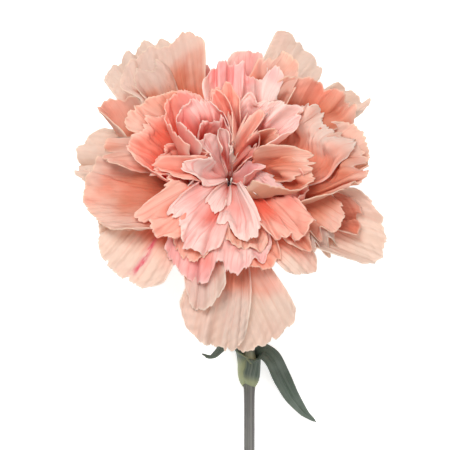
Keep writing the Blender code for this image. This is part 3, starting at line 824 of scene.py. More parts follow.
class Sheet:
    """One petal's sheet: its lean, its outline, its folds and its teeth."""

    def __init__(self, number: int, petal: Petal, ring: Ring, foot: float, form: BladeForm) -> None:
        """Works out how long the blade is along its curve.

        Args:
            number: The petal's number, from 1.
            petal: Its shape.
            ring: The ring that it stands in.
            foot: The azimuth of its foot there, in radians.
            form: What all petals share.
        """
        self.number, self.petal, self.ring, self.foot, self.form = number, petal, ring, foot, form
        self.blade = petal.reach - form.spread_from
        furthest = form.spread_from + self.blade * form.past_rim
        self.steps = np.linspace(ring.foot_distance, furthest, form.steps)
        lean = self.lean(0.0, self.steps)
        leaps = np.hypot(np.diff(self.steps), np.diff(lean) * self.steps[1:])
        self.paths = np.concatenate(((0.0,), np.cumsum(leaps)))
        self.start = float(self.path_at(form.spread_from))
        self.length = float(self.path_at(petal.reach)) - self.start
        self.tip = self.start + self.length

    def draw(self, seed: int) -> np.random.RandomState:
        """This petal's own random numbers for one of its features."""
        return np.random.RandomState(seed + self.number)

    def path_at(self, distance: Array) -> Array:
        """Length of the middle line up to a distance."""
        return np.interp(distance, self.steps, self.paths)

    def distance_at(self, path: Array) -> Array:
        """Distance at a length along the middle line."""
        return np.interp(path, self.paths, self.steps)

    def run(self, distance: Array) -> Array:
        """Share of the blade's length, 0 at the throat and 1 at the rim."""
        return np.clip((self.path_at(distance) - self.start) / self.length, 0.0, self.form.past_rim)

    def claw_lean(self, distance: Array) -> Array:
        """Lean of the claw's middle line.

        Args:
            distance: Where to read it.

        Returns:
            The lean in radians.
        """
        ring, mouth = self.ring, self.form.calyx_mouth
        rise = smooth((distance - ring.foot_distance) / (mouth - ring.foot_distance))
        radius = ring.foot_radius + (ring.mouth_radius - ring.foot_radius) * rise
        radius = radius * np.maximum(1.0, distance / mouth)
        return np.arcsin(np.clip(radius / distance, 0.0, 1.0))

    def lean(self, side: Array, distance: Array) -> Array:
        """Lean of the sheet without its folds.

        Args:
            side: Where across the petal, from -1 to 1.
            distance: At what distance.

        Returns:
            The lean in radians.
        """
        petal, form = self.petal, self.form
        foot = self.claw_lean(distance)
        rise = np.clip((distance - form.spread_from) / self.blade, 0.0, form.past_rim)
        start = form.ease**petal.flare
        opened = ((rise + form.ease) ** petal.flare - start) / ((1.0 + form.ease) ** petal.flare - start)
        bent = petal.skew * side - petal.cup * side**2
        return foot + (np.radians(petal.lean + bent) - foot) * opened

    def steepness(self, distance: Array) -> Array:
        """How far the sheet moves sideways for each step outwards."""
        change = self.lean(0.0, distance + self.form.probe) - self.lean(0.0, distance - self.form.probe)
        return np.minimum(change / (2.0 * self.form.probe) * distance, self.form.most_steep)

    def chord(self, distance: Array) -> Array:
        """Straight length from the middle of the throat to the blade's middle line.

        Args:
            distance: At what distance.

        Returns:
            The length in millimetres.
        """
        start = self.form.spread_from
        turn = self.lean(0.0, distance) - self.claw_lean(start)
        return np.sqrt(np.maximum(distance**2 + start**2 - 2.0 * distance * start * np.cos(turn), 0.0))

    def half_span(self, distance: Array) -> Array:
        """Half the angle that the petal covers round the axis.

        Args:
            distance: At what distance.

        Returns:
            The angle in radians.
        """
        form, petal = self.form, self.petal
        chord = np.where(distance > form.spread_from, self.chord(distance), 0.0)
        opened = np.sin(math.pi / 2.0 * np.clip(chord / self.chord(petal.reach), 0.0, 1.0))
        half = (form.claw_width + (petal.width - form.claw_width) * opened**petal.widening) / 2.0
        ring = distance * np.sin(self.lean(0.0, distance))
        return half / np.maximum(ring, half / form.most_wrap)

    def azimuth(self, distance: Array) -> Array:
        """Azimuth of the middle line, which drifts from the claw's place to the blade's.

        Args:
            distance: At what distance.

        Returns:
            The azimuth in radians.
        """
        form, petal = self.form, self.petal
        drift = (math.radians(petal.azimuth) - self.foot + math.pi) % math.tau - math.pi
        drift = drift * smooth((distance - form.drift_from) / (form.drift_to - form.drift_from))
        swing = smooth((petal.reach - distance) / self.blade) * rising(distance, form.sweep_band)
        return self.foot + drift - math.radians(petal.sweep) * swing

    def waves(self, side: Array, run: Array) -> tuple[Array, Array]:
        """The broad folds across the blade.

        Args:
            side: Where across the petal, from -1 to 1.
            run: Where along the blade, from 0 to 1.

        Returns:
            How high they are and how far they shift the blade sideways, both from -1 to 1.
        """
        draw = self.draw(self.form.wave_seed)
        phase, second, third, fourth = draw.uniform(0.0, math.tau, 4)
        count = self.petal.width / self.form.wave_pitch * draw.uniform(0.8, 1.25)
        slope = draw.uniform(-0.5, 0.5)
        warp = 0.22 * np.sin(math.pi * side + third) + slope * (1.0 - run) + 0.1 * np.sin(4.0 * run + fourth)
        angle = math.pi * count * (side + warp) + phase
        return 0.72 * np.sin(angle) + 0.28 * np.sin(2.3 * angle + second), np.sin(2.0 * angle)

    def folds(self, side: Array, distance: Array) -> Array:
        """How far the folds stand off the smooth sheet, away from the bloom's axis.

        Args:
            side: Where across the petal, from -1 to 1.
            distance: At what distance.

        Returns:
            The height in millimetres.
        """
        petal, form, run = self.petal, self.form, self.run(distance)
        draw = self.draw(form.fold_seed)
        phases = draw.uniform(0.0, math.tau, 6)
        curl = draw.uniform(*form.drawn_curl) if petal.curl is None else petal.curl
        across, along = side * petal.width / 2.0, run * self.length
        room = min(1.0, self.blade / form.full_folds_from)
        height = form.fold_depth * room * petal.ruffle * self.waves(side, run)[0] * run**2.2
        frill = np.sin(across * 1.35 + 0.9 * np.sin(along * 0.35 + phases[0]) + phases[1])
        frill = frill * (0.6 + 0.4 * np.sin(across * 0.5 + phases[2]))
        height = height + form.frill_depth * room**0.5 * frill * run**4
        crumple = np.sin(across * 2.6 + along * 0.9 + phases[3])
        crumple = crumple * np.sin(along * 1.1 - across * 0.7 + phases[4])
        height = height + form.crumple_depth * crumple * run**0.7
        billow = np.sin(2.2 * math.pi * run + phases[5]) * run * (1.0 - 0.6 * side**2)
        height = height + form.billow_depth * room * billow
        drawn = (draw.uniform(-most, most, form.creases) for most in (0.7, 0.3, 1.0))
        for place, slope, rise in zip(*drawn):
            away = np.abs(side - place - slope * (1.0 - run)) * petal.width / 2.0
            height = height + form.crease_depth * room * rise * np.exp(-away / form.crease_width) * run**0.8
        for place, width, rise in petal.ridges:
            height = height - rise * bell(side - place, width) * run**1.2
        uneven = 1.0 + 0.45 * np.sin(2.1 * side + phases[2])
        height = height + form.curl_depth * curl * uneven * rising(run, form.curl_band) ** 1.5
        return height - form.bulge_depth * petal.bulge * self.length * np.sin(math.pi * np.minimum(run, 1.0))

    def outline(self, side: Array) -> Array:
        """How far the rounded rim falls short of the petal's length.

        Args:
            side: Where across the petal, from -1 to 1.

        Returns:
            The length in millimetres.
        """
        petal, form, draw = self.petal, self.form, self.draw(self.form.rim_seed)
        lobes, nicks = draw.uniform(0.0, 1.0, form.lobes), draw.uniform(0.0, 1.0, form.nicks)
        short = self.length * form.corners * np.abs(side) ** form.rounding
        short = short + form.lobe_depth * through(lobes, (side + 1.0) / 2.0 * (form.lobes - 1))
        short = short + form.nick_depth * np.interp(side, np.linspace(-1.0, 1.0, form.nicks), nicks)
        return short + (abs(petal.slant) - petal.slant * side) / 2.0

    def teeth(self, side: Array) -> Array:
        """How deep the rim is cut between its teeth, which differ in width and depth.

        Args:
            side: Where across the petal, from -1 to 1.

        Returns:
            The depth in millimetres.
        """
        form, width, draw = self.form, self.petal.width, self.draw(self.form.tooth_seed)
        count = max(form.fewest_teeth, round(width / form.tooth_width))
        knots = np.cumsum(draw.uniform(*form.tooth_shares, count + 2))
        knots = (knots - knots[0]) / (knots[-1] - knots[0]) * 2.0 - 1.0
        depths = draw.uniform(0.0, 1.0, count + 2) ** 1.6
        cell = np.clip(np.searchsorted(knots, side, side="right") - 1, 0, count)
        part = (side - knots[cell]) / (knots[cell + 1] - knots[cell])
        peak = np.interp(depths[::-1][cell], (0.0, 1.0), form.tooth_peaks)
        tooth = np.clip(np.where(part < peak, part / peak, (1.0 - part) / (1.0 - peak)), 0.0, 1.0)
        cut = (1.0 - tooth**0.8) * np.interp(depths[cell], (0.0, 1.0), form.tooth_depths)
        for place in draw.uniform(-0.8, 0.8, form.splits):
            cut = cut + smooth(1.0 - np.abs(side - place) * width / 2.0 / form.split_width)
        return cut


@dataclass
class Bloom:
    """All petals, stacked from the outermost to the innermost."""

    space: BloomSpace
    form: BladeForm = BladeForm()
    thickness: float = 0.25
    rings: tuple[Ring, ...] = (
        Ring(16, 4.6, 6.2, 4.9),
        Ring(14, 4.0, 5.2, 5.7),
        Ring(11, 3.4, 4.2, 6.4),
        Ring(7, 2.9, 3.2, 6.9),
    )
    column_pitch: float = 0.3
    row_pitch: float = 0.75
    rim_pitch: float = 0.3
    rim_band: float = 3.0
    claw_rows: int = 10
    tooth_band: float = 2.5
    raster_step: float = 0.5
    raster_start: float = 4.0
    raster_rows: int = 116
    stack_from: float = 22.0
    kept_clear: float = 1.2
    throat_from: float = 27.0
    throat_end: float = 33.2
    throat_splay: float = 0.15
    spacing: float = 0.45
    more_spacing: float = 0.35  # what is added to it away from the throat
    spacing_band: Band = (28.3, 9.5)
    margin: float = 0.35
    more_margin: float = 0.4  # what is added to it away from the throat
    margin_band: Band = (30.0, 5.0)
    close_spread: tuple[tuple[int, int], tuple[int, int]] = ((6, 2), (3, 1))  # near the throat
    wide_spread: tuple[tuple[int, int], tuple[int, int]] = ((2, 1), (1, 1))  # further out
    wide_band: Band = (33.0, 5.0)
    surface_clearance: float = 0.1
    least_ring: float = 2.0
    sideways: float = 0.3  # how far the broad folds shift the blade, as a share of their height
    edged_from: float = 0.25  # share of the blade from which its sides have a pale edge
    edge_band: Band = (0.05, 0.55)  # how far the pale edge reaches in
    shade_band: Band = (40.0, 24.0)  # the leans over which painted shade darkens the petals
    streak_bands: tuple[Band, Band] = ((0.45, 0.2), (0.85, 0.12))  # where a streak starts and ends
    streak_width: float = 0.05
    distances: Array = field(init=False)
    azimuths: Array = field(init=False)

    def __post_init__(self) -> None:
        """Lays out the raster on which the petals are kept apart."""
        self.distances = self.raster_start + self.raster_step * np.arange(self.raster_rows)
        self.azimuths = np.radians(np.arange(360.0))

    def sheets(self) -> list[Sheet]:
        """Stands outer petals in outer rings, evenly spaced.

        Returns:
            The sheet of each petal, in the order of PETALS.
        """
        found: dict[int, Sheet] = {}
        for ring in self.rings:
            first, pitch = len(found), 360.0 / ring.petals
            members = sorted(range(first, first + ring.petals), key=lambda index: PETALS[index].azimuth)
            turn = np.mean([PETALS[index].azimuth - place * pitch for place, index in enumerate(members)])
            for place, index in enumerate(members):
                foot = math.radians(turn + place * pitch)
                found[index] = Sheet(index + 1, PETALS[index], ring, foot, self.form)
        return [found[index] for index in sorted(found)]

    @staticmethod
    def softened(values: Array, reach: tuple[int, int], blur: tuple[int, int]) -> Array:
        """Spreads the largest values of a raster over their neighbours and evens them out twice.

        Args:
            values: The raster, whose first axis runs round the bloom.
            reach: How many places round and along the largest values spread.
            blur: How many places round and along each mean takes in.

        Returns:
            A raster of the same size.
        """
        for gather, (turns, rows) in ((np.max, reach), (np.mean, blur), (np.mean, blur)):
            values = gather([np.roll(values, turn, axis=0) for turn in range(-turns, turns + 1)], axis=0)
            padded = np.pad(values, ((0, 0), (rows, rows)), mode="edge")
            values = gather([padded[:, row : row + values.shape[1]] for row in range(2 * rows + 1)], axis=0)
        return values

    def surface_lean(self, azimuths: Array, distances: Array) -> Array:
        """The lean at which a petal lies on the surface under the flower.

        Args:
            azimuths: Azimuths in radians.
            distances: Distances.

        Returns:
            The leans in radians.
        """
        backward = math.sin(self.space.tilt) * np.sin(azimuths)
        length = np.hypot(math.cos(self.space.tilt), backward)
        fall = (self.surface_clearance + self.thickness / 2.0 - self.space.centre[2]) / (distances * length)
        return np.arccos(np.clip(fall, -1.0, 1.0)) - np.arctan2(backward, math.cos(self.space.tilt))

    def pushes(self, sheets: list[Sheet]) -> list[Array]:
        """Lays the petals one by one on those behind them.

        Args:
            sheets: The petals' sheets, from the outermost to the innermost.

        Returns:
            How far each petal is pushed towards the axis, in radians, as rasters.
        """
        azimuths, distances = np.meshgrid(self.azimuths, self.distances, indexing="ij")
        splay = self.throat_splay * np.maximum(0.0, distances - self.throat_from) ** 2
        throat = np.arcsin(np.clip((self.rings[0].mouth_radius + splay) / distances, 0.0, 1.0))
        room = np.where(distances < self.throat_end, throat, math.pi)
        surface = self.surface_lean(azimuths, distances)
        spacing = self.spacing + self.more_spacing * rising(distances, self.spacing_band)
        margin = self.margin + self.more_margin * rising(self.distances, self.margin_band)
        found = []
        for sheet in sheets:
            span = sheet.half_span(self.distances)
            turned = (azimuths - sheet.azimuth(self.distances) + math.pi) % math.tau - math.pi
            side = turned / span
            held = np.clip(side, -1.0, 1.0)
            ring = self.distances * np.sin(sheet.lean(0.0, self.distances))
            covered = np.abs(side) <= 1.0 + margin / (span * ring)
            covered &= sheet.path_at(distances) <= sheet.tip - sheet.outline(held) + margin
            stretch = np.hypot(1.0, sheet.steepness(self.distances)) / self.distances
            free = sheet.lean(held, distances) + sheet.folds(held, distances) * stretch
            stacked = covered & (distances >= self.stack_from)
            excess = np.where(stacked, np.maximum(0.0, free - room), 0.0)
            close = self.softened(excess, *self.close_spread)
            wide = self.softened(excess, *self.wide_spread)
            push = close + (wide - close) * rising(distances, self.wide_band)
            least = np.arcsin(np.clip(self.kept_clear / distances, 0.0, 1.0))
            push = np.maximum(np.minimum(push, np.maximum(0.0, free - least)), free - surface)
            laid = free - push - spacing / distances
            room = np.where(covered, np.minimum(room, laid), room)
            found.append(push)
        return found

    def read(self, values: Array, azimuth: Array, distance: Array) -> Array:
        """Reads a raster between its places.

        Args:
            values: The raster.
            azimuth: Azimuths in radians.
            distance: Distances.

        Returns:
            The values there.
        """
        turn = np.degrees(azimuth) % 360.0
        row = np.clip((distance - self.raster_start) / self.raster_step, 0.0, self.raster_rows - 1.001)
        left, low = np.floor(turn).astype(int), np.floor(row).astype(int)
        across, along = turn - left, row - low
        left, right = left % 360, (left + 1) % 360
        near = values[left, low] * (1.0 - across) + values[right, low] * across
        far = values[left, low + 1] * (1.0 - across) + values[right, low + 1] * across
        return near * (1.0 - along) + far * along

    def levels(self, sheet: Sheet) -> Array:
        """Lays out the rows of a petal's mesh.

        Args:
            sheet: The petal's sheet.

        Returns:
            The rows' places along the middle line, which are closest at the rim.
        """
        throat, band = float(sheet.path_at(self.form.calyx_mouth)), sheet.tip - self.rim_band
        claw = np.linspace(0.0, throat, self.claw_rows, endpoint=False)
        blade = np.linspace(throat, band, round((band - throat) / self.row_pitch), endpoint=False)
        rim = np.linspace(band, sheet.tip, round(self.rim_band / self.rim_pitch) + 1)
        return np.concatenate((claw, blade, rim))

    def build_petal(self, sheet: Sheet, push: Array, look: Look) -> None:
        """Models and dresses one petal.

        Args:
            sheet: The petal's sheet.
            push: How far its neighbours push it towards the axis.
            look: Its finish.
        """
        petal, levels = sheet.petal, self.levels(sheet)
        name, columns = f"petal_{sheet.number:02d}", round(petal.width / self.column_pitch)
        made, side, along = Workbench.sheet(f"{name}_blade", columns, len(levels) - 1)
        level = levels[np.rint(along * (len(levels) - 1)).astype(int)]
        blade = np.maximum(0.0, level - sheet.start) / sheet.length
        outline, teeth = sheet.outline(side), sheet.teeth(side)
        cut = smooth((level - sheet.tip + self.tooth_band) / self.tooth_band) * teeth
        path = level - blade**1.5 * outline - cut
        distance = sheet.distance_at(path)
        span = sheet.half_span(distance)
        azimuth = sheet.azimuth(distance) + side * span
        steep, height = sheet.steepness(distance), sheet.folds(side, distance)
        flatness = 1.0 / np.hypot(1.0, steep)
        lean = sheet.lean(side, distance) + height * flatness / distance
        distance = distance - height * steep * flatness
        lean = lean - self.read(push, azimuth, distance)
        ring = np.maximum(distance * np.sin(lean), self.least_ring)
        shift = self.sideways * petal.ruffle * sheet.waves(side, blade)[1] * blade**1.5 * (1.0 - side**2)
        inner = np.where(blade > self.edged_from, (1.0 - np.abs(side)) * span * ring, np.inf)
        edge = np.minimum(inner, sheet.tip - outline - teeth - path)
        # Painted shade for the petals that lie back, stored for their finish to darken them.
        shade = rising(petal.lean, self.shade_band)
        Workbench.place(
            made,
            self.space.point(azimuth - shift / ring, lean, distance),
            run=blade,
            edge=1.0 - rising(edge, self.edge_band),
            tone=np.full(len(side), petal.tone),
            shade=np.full(len(side), shade),
            streak=self.streak(sheet, side, blade),
        )
        Workbench.thicken(made, self.thickness)
        corners, half = Workbench.corners(made), len(side)
        upper = ((corners[:half] - corners[half:]) @ self.space.axis).sum() > 0.0
        Workbench.number(made, "back", (np.arange(len(corners)) >= half) == upper)
        Workbench.finish(made, name, petal.tint.value, look)

    def streak(self, sheet: Sheet, side: Array, blade: Array) -> Array:
        """Colours the dark streak that a petal may have.

        Args:
            sheet: The petal's sheet.
            side: Where across it, from -1 to 1.
            blade: Where along its blade, from 0 to 1.

        Returns:
            How dark it is there, from 0 to 1.
        """
        if not sheet.petal.streak:
            return np.zeros_like(side)
        wander = 0.05 * np.sin(9.0 * blade + sheet.number)
        start, end = self.streak_bands
        across = bell(side - sheet.petal.streak + wander, self.streak_width)
        return across * rising(blade, start) * (1.0 - rising(blade, end))

    def build(self, looks: dict[Tint, Look]) -> None:
        """Builds every petal.

        Args:
            looks: The finish of each tint.
        """
        sheets = self.sheets()
        for sheet, push in zip(sheets, self.pushes(sheets)):
            self.build_petal(sheet, push, looks[sheet.petal.tint])


# ---- the green parts


@dataclass
class Stem:
    """The neck under the calyx, the peduncle, the swollen node and the internode down to the cut end."""

    space: BloomSpace
    radius: float = 1.45
    peduncle_radius: float = 1.2
    node_radius: float = 2.6
    neck_top: float = -1.75
    neck_bend: float = 11.0
    node_y: float = -35.5
    node_length: float = 9.0
    node_height: float = 3.3
    side_step: float = 5.6
    end_y: float = -130.0
    sides: int = 40
    lengths: int = 260
    ribs: int = 11
    rib_depth: float = 0.018  # this and the other reliefs are shares of the radius
    collar_depth: float = 0.05
    swelling_depth: float = 0.03
    paleness: float = 0.9

    def line(self) -> tuple[Array, Array]:
        """Lays out the stem for a bloom at the drawn centre.

        Returns:
            Knots of the middle line, and the stem's radius at each.
        """
        top = self.space.drawn_centre + self.neck_top * self.space.axis
        full = math.pi / 2.0 - self.space.tilt
        angle = full * (1.0 - np.linspace(0.0, 1.0, 8))
        neck_y = top[1] - self.neck_bend * (math.sin(full) - np.sin(angle))
        neck_z = top[2] - self.neck_bend * (np.cos(angle) - math.cos(full))
        run_y = np.concatenate(
            (
                np.linspace(neck_y[-1] - 3.0, self.node_y + self.node_length, 4),
                self.node_y + self.node_length * np.linspace(0.6, -0.6, 7),
                np.linspace(self.node_y - self.node_length, self.end_y, 9),
            )
        )
        along = smooth((neck_y[-1] - run_y) / (neck_y[-1] - self.node_y))
        run_z = neck_z[-1] + (self.node_height - neck_z[-1]) * along
        falling = smooth((self.node_y - run_y) / (self.node_y - self.end_y))
        run_z = run_z + (self.radius - self.node_height) * falling
        y = np.concatenate((neck_y, run_y))
        z = np.concatenate((neck_z, run_z))
        x = self.side_step * smooth((top[1] - y) / (top[1] - self.node_y - 4.0))
        plain = np.where(y > self.node_y, self.peduncle_radius, self.radius)
        swelling = bell(y - self.node_y, 0.42 * self.node_length)
        return np.stack((x, y, z), axis=1), plain + (self.node_radius - plain) * swelling

    def build(self, look: Look) -> None:
        """Models the stem from a ringed rod and dresses it.

        Args:
            look: The stem's finish.
        """
        made, turn, along = Workbench.rod("stem_skin", self.sides, self.lengths)
        knots, radii = self.line()
        steps = np.concatenate(((0.0,), np.cumsum(np.linalg.norm(np.diff(knots, axis=0), axis=1))))
        length = along * steps[-1]
        places = np.interp(length, steps, np.arange(len(steps)))
        middle = through(knots, places)
        ahead, behind = np.minimum(places + 0.02, len(steps) - 1), np.maximum(places - 0.02, 0)
        from_node = middle[:, 1] - self.node_y
        relief = self.rib_depth * np.sin(self.ribs * turn + 1.5 * np.sin(length / 23.0))
        relief = relief - self.collar_depth * bell(from_node + 0.8, 0.55)
        relief = relief + self.swelling_depth * np.sin(3.0 * turn + length / 5.0) * bell(from_node, 5.0)
        forward = through(knots, ahead) - through(knots, behind)
        points = round_path(middle, forward, turn, through(radii, places) * (1.0 + relief))
        shift = self.space.centre - self.space.drawn_centre
        Workbench.place(made, points + shift, pale=self.paleness * bell(from_node - 0.6, 3.4))
        Workbench.finish(made, "stem", "stem", look)


@dataclass(frozen=True)
class LeafStation:
    """A cross-section of a leaf: its middle, the way that its lower face looks, and its arc."""

    middle: Triple
    outward: Triple
    half_width: float
    half_arc: float


RIGHT_BLADE = (
    LeafStation((8.4, -31.6, 4.6), (0.85, -0.3, -0.3), 2.5, 52.0),
    LeafStation((10.0, -31.0, 6.2), (0.35, -0.45, -0.8), 2.3, 32.0),
    LeafStation((12.3, -33.2, 7.2), (-0.1, -0.2, -1.0), 2.4, 26.0),
    LeafStation((14.8, -38.4, 6.4), (-0.1, 0.1, -1.0), 2.4, 24.0),
    LeafStation((17.8, -43.8, 4.4), (0.0, 0.2, -1.0), 1.9, 22.0),
    LeafStation((21.0, -47.8, 2.8), (0.0, 0.3, -1.0), 1.05, 18.0),
    LeafStation((24.0, -50.2, 1.2), (0.0, 0.3, -1.0), 0.08, 14.0),
)
LEFT_BLADE = (
    LeafStation((2.0, -30.0, 4.0), (-0.85, -0.3, -0.4), 2.2, 50.0),
    LeafStation((-0.2, -27.2, 5.8), (-0.5, -0.6, -0.6), 1.6, 30.0),
    LeafStation((-2.6, -30.4, 7.0), (-0.1, -0.8, -0.6), 1.1, 24.0),
    LeafStation((-4.9, -32.2, 7.4), (0.1, -0.9, -0.5), 0.85, 20.0),
    LeafStation((-7.4, -31.3, 7.0), (0.2, -0.7, -0.6), 0.08, 14.0),
)


@dataclass(frozen=True)
class Leaf:
    """One leaf: the sizes of its sheathing foot, its blade and how pale its foot is."""

    name: str
    blade: tuple[LeafStation, ...]
    facing: float
    half_arc: float
    inset: float
    foot: float
    foot_fade: Band


@dataclass
class LeafPair:
    """The two leaves at the node, whose sheathing feet hold it."""

    space: BloomSpace
    thickness: float = 0.42
    axis_x: float = 5.35
    axis_z: float = 3.4
    sheath_rings: tuple[Triple, ...] = (  # y, radius and turn of each
        (-40.3, 1.85, 34.0),
        (-39.4, 2.4, 33.0),
        (-38.0, 2.85, 30.0),
        (-36.0, 3.05, 22.0),
        (-33.2, 3.0, 4.0),
    )
    leaves: tuple[Leaf, ...] = (
        Leaf("leaf_right", RIGHT_BLADE, 0.0, 92.0, 0.0, 0.7, (0.8, 1.6)),
        Leaf("leaf_left", LEFT_BLADE, 180.0, 112.0, 0.35, 0.8, (math.inf, 1.0)),
    )
    keel_depth: float = 0.22
    wave_depth: float = 0.12
    margin: float = 0.6
    margin_band: Band = (0.88, 0.1)  # across the leaf
    margin_end: Band = (4.0, 1.5)  # this and foot_end are counted in cross-sections
    foot_end: Band = (3.6, 1.0)
    columns: int = 28
    rows_each: int = 14

    def sheath(self, leaf: Leaf) -> tuple[LeafStation, ...]:
        """Lays out one leaf's foot, which wraps half of the node.

        Args:
            leaf: The leaf.

        Returns:
            Its cross-sections.
        """
        stations = []
        for y, radius, turn in self.sheath_rings:
            radius, angle = radius - leaf.inset, math.radians(turn + leaf.facing)
            outward = (math.cos(angle), 0.0, math.sin(angle))
            middle = (self.axis_x + radius * outward[0], y, self.axis_z + radius * outward[2])
            half_width = radius * math.sin(math.radians(leaf.half_arc))
            stations.append(LeafStation(middle, outward, half_width, leaf.half_arc))
        return tuple(stations)

    def build_leaf(self, leaf: Leaf, look: Look) -> None:
        """Models one leaf as a channelled sheet swept through its cross-sections.

        Args:
            leaf: The leaf.
            look: Its finish.
        """
        stations = self.sheath(leaf) + leaf.blade
        spans = len(stations) - 1
        made, side, along = Workbench.sheet(f"{leaf.name}_blade", self.columns, self.rows_each * spans)
        along = along * spans
        middles = [station.middle for station in stations]
        outward = through([station.outward for station in stations], along)
        half_width = through([station.half_width for station in stations], along)
        half_arc = np.radians(through([station.half_arc for station in stations], along))
        forward = through(middles, along + 0.05) - through(middles, along - 0.05)
        across = unit(np.cross(forward, outward))
        outward = unit(np.cross(across, forward))
        radius, bend = half_width / np.sin(half_arc), side * half_arc
        keel = self.keel_depth * bell(side, 0.12) * np.clip(half_width / 2.0, 0.0, 1.0)
        wavy = self.wave_depth * np.sin(5.0 * along + 2.0) * side**3
        lift = keel + wavy - radius * (1.0 - np.cos(bend))
        points = through(middles, along) + (radius * np.sin(bend))[:, None] * across + lift[:, None] * outward
        margin = self.margin * rising(np.abs(side), self.margin_band) * (1.0 - rising(along, self.margin_end))
        foot = leaf.foot * (1.0 - rising(along, leaf.foot_fade)) * (1.0 - rising(along, self.foot_end))
        pale = np.maximum(margin, foot)
        Workbench.place(made, points + self.space.centre - self.space.drawn_centre, pale=pale)
        Workbench.thicken(made, self.thickness)
        Workbench.weld(made)
        Workbench.finish(made, leaf.name, "leaf", look)

    def build(self, look: Look) -> None:
        """Builds both leaves."""
        for leaf in self.leaves:
            self.build_leaf(leaf, look)


@dataclass
class Calyx:
    """The green tube that holds the claws, its five teeth, and two pairs of bracts round its foot."""

    space: BloomSpace
    wall: float = 0.5
    profile: tuple[tuple[float, float], ...] = (  # height and outer radius
        (-2.8, 2.0),
        (-2.0, 4.1),
        (0.6, 5.6),
        (8.0, 6.0),
        (17.0, 6.75),
        (26.0, 7.25),
    )
    teeth: int = 5
    tooth_rows: tuple[Triple, ...] = (  # height in a valley and at a tip, and radius
        (27.0, 27.4, 7.7),
        (27.3, 29.2, 9.7),
        (27.5, 30.2, 12.2),
    )
    columns: int = 120
    rows: int = 72
    ribs: int = 35
    rib_depth: float = 0.06
    bracts: int = 4
    bract_foot: float = -1.6
    bract_length: float = 9.5
    bract_span: float = 62.0
    bract_thickness: float = 0.4
    bract_splay: float = 0.35
    gap: float = 0.3

    def build_tube(self, look: Look) -> None:
        """Models the tube with its ribs and teeth.

        Args:
            look: Its finish.
        """
        made, side, along = Workbench.sheet("calyx_tube", self.columns, self.rows)
        round_tube = (side + 1.0) / 2.0
        tooth = 1.0 - np.abs(round_tube * self.teeth * 4.0 % 4.0 - 2.0) / 2.0
        rows = [(height, height, radius) for height, radius in self.profile] + list(self.tooth_rows)
        level = along * (len(rows) - 1)
        valley, tip, radius = (np.interp(level, np.arange(len(rows)), column) for column in zip(*rows))
        mouth = self.profile[-1][1]
        radius = np.where(level > len(self.profile) - 1, mouth + (radius - mouth) * tooth, radius)
        azimuth = math.tau * round_tube
        radius = radius + self.rib_depth * np.cos(self.ribs * azimuth) * rising(level, (1.0, 2.0))
        points = self.space.round_axis(azimuth, radius, valley + (tip - valley) * tooth)
        Workbench.place(made, points, pale=0.4 * (1.0 - smooth(level / 2.0)))
        Workbench.weld(made)
        Workbench.thicken(made, self.wall, offset=-1.0)
        Workbench.finish(made, "calyx", "calyx", look)

    def build_bract(self, number: int, look: Look) -> None:
        """Models one pointed scale.

        Args:
            number: Its number, from 0. The first two lie against the tube.
            look: Its finish.
        """
        layer, right = divmod(number, 2)
        middle = math.radians(180.0 * right + 90.0 * layer)
        away = self.gap + self.bract_thickness / 2.0 + layer * (self.gap + self.bract_thickness)
        name = f"bract_{number + 1}"
        made, side, along = Workbench.sheet(f"{name}_scale", 24, 28)
        narrowing = math.radians(self.bract_span) * np.sqrt(np.clip(1.04 - along**1.6, 0.0, 1.0))
        height = self.bract_foot + self.bract_length * along * (1.0 - 0.1 * side**2)
        radius = np.interp(height, *zip(*self.profile)) + away + self.bract_splay * along**3
        points = self.space.round_axis(middle + side * narrowing, radius, height)
        Workbench.place(made, points, pale=0.3 * (1.0 - along))
        Workbench.thicken(made, self.bract_thickness)
        Workbench.finish(made, name, "calyx", look)

    def build(self, look: Look) -> None:
        """Builds the tube and the bracts.

        Args:
            look: Their finish.
        """
        self.build_tube(look)
        for number in range(self.bracts):
            self.build_bract(number, look)


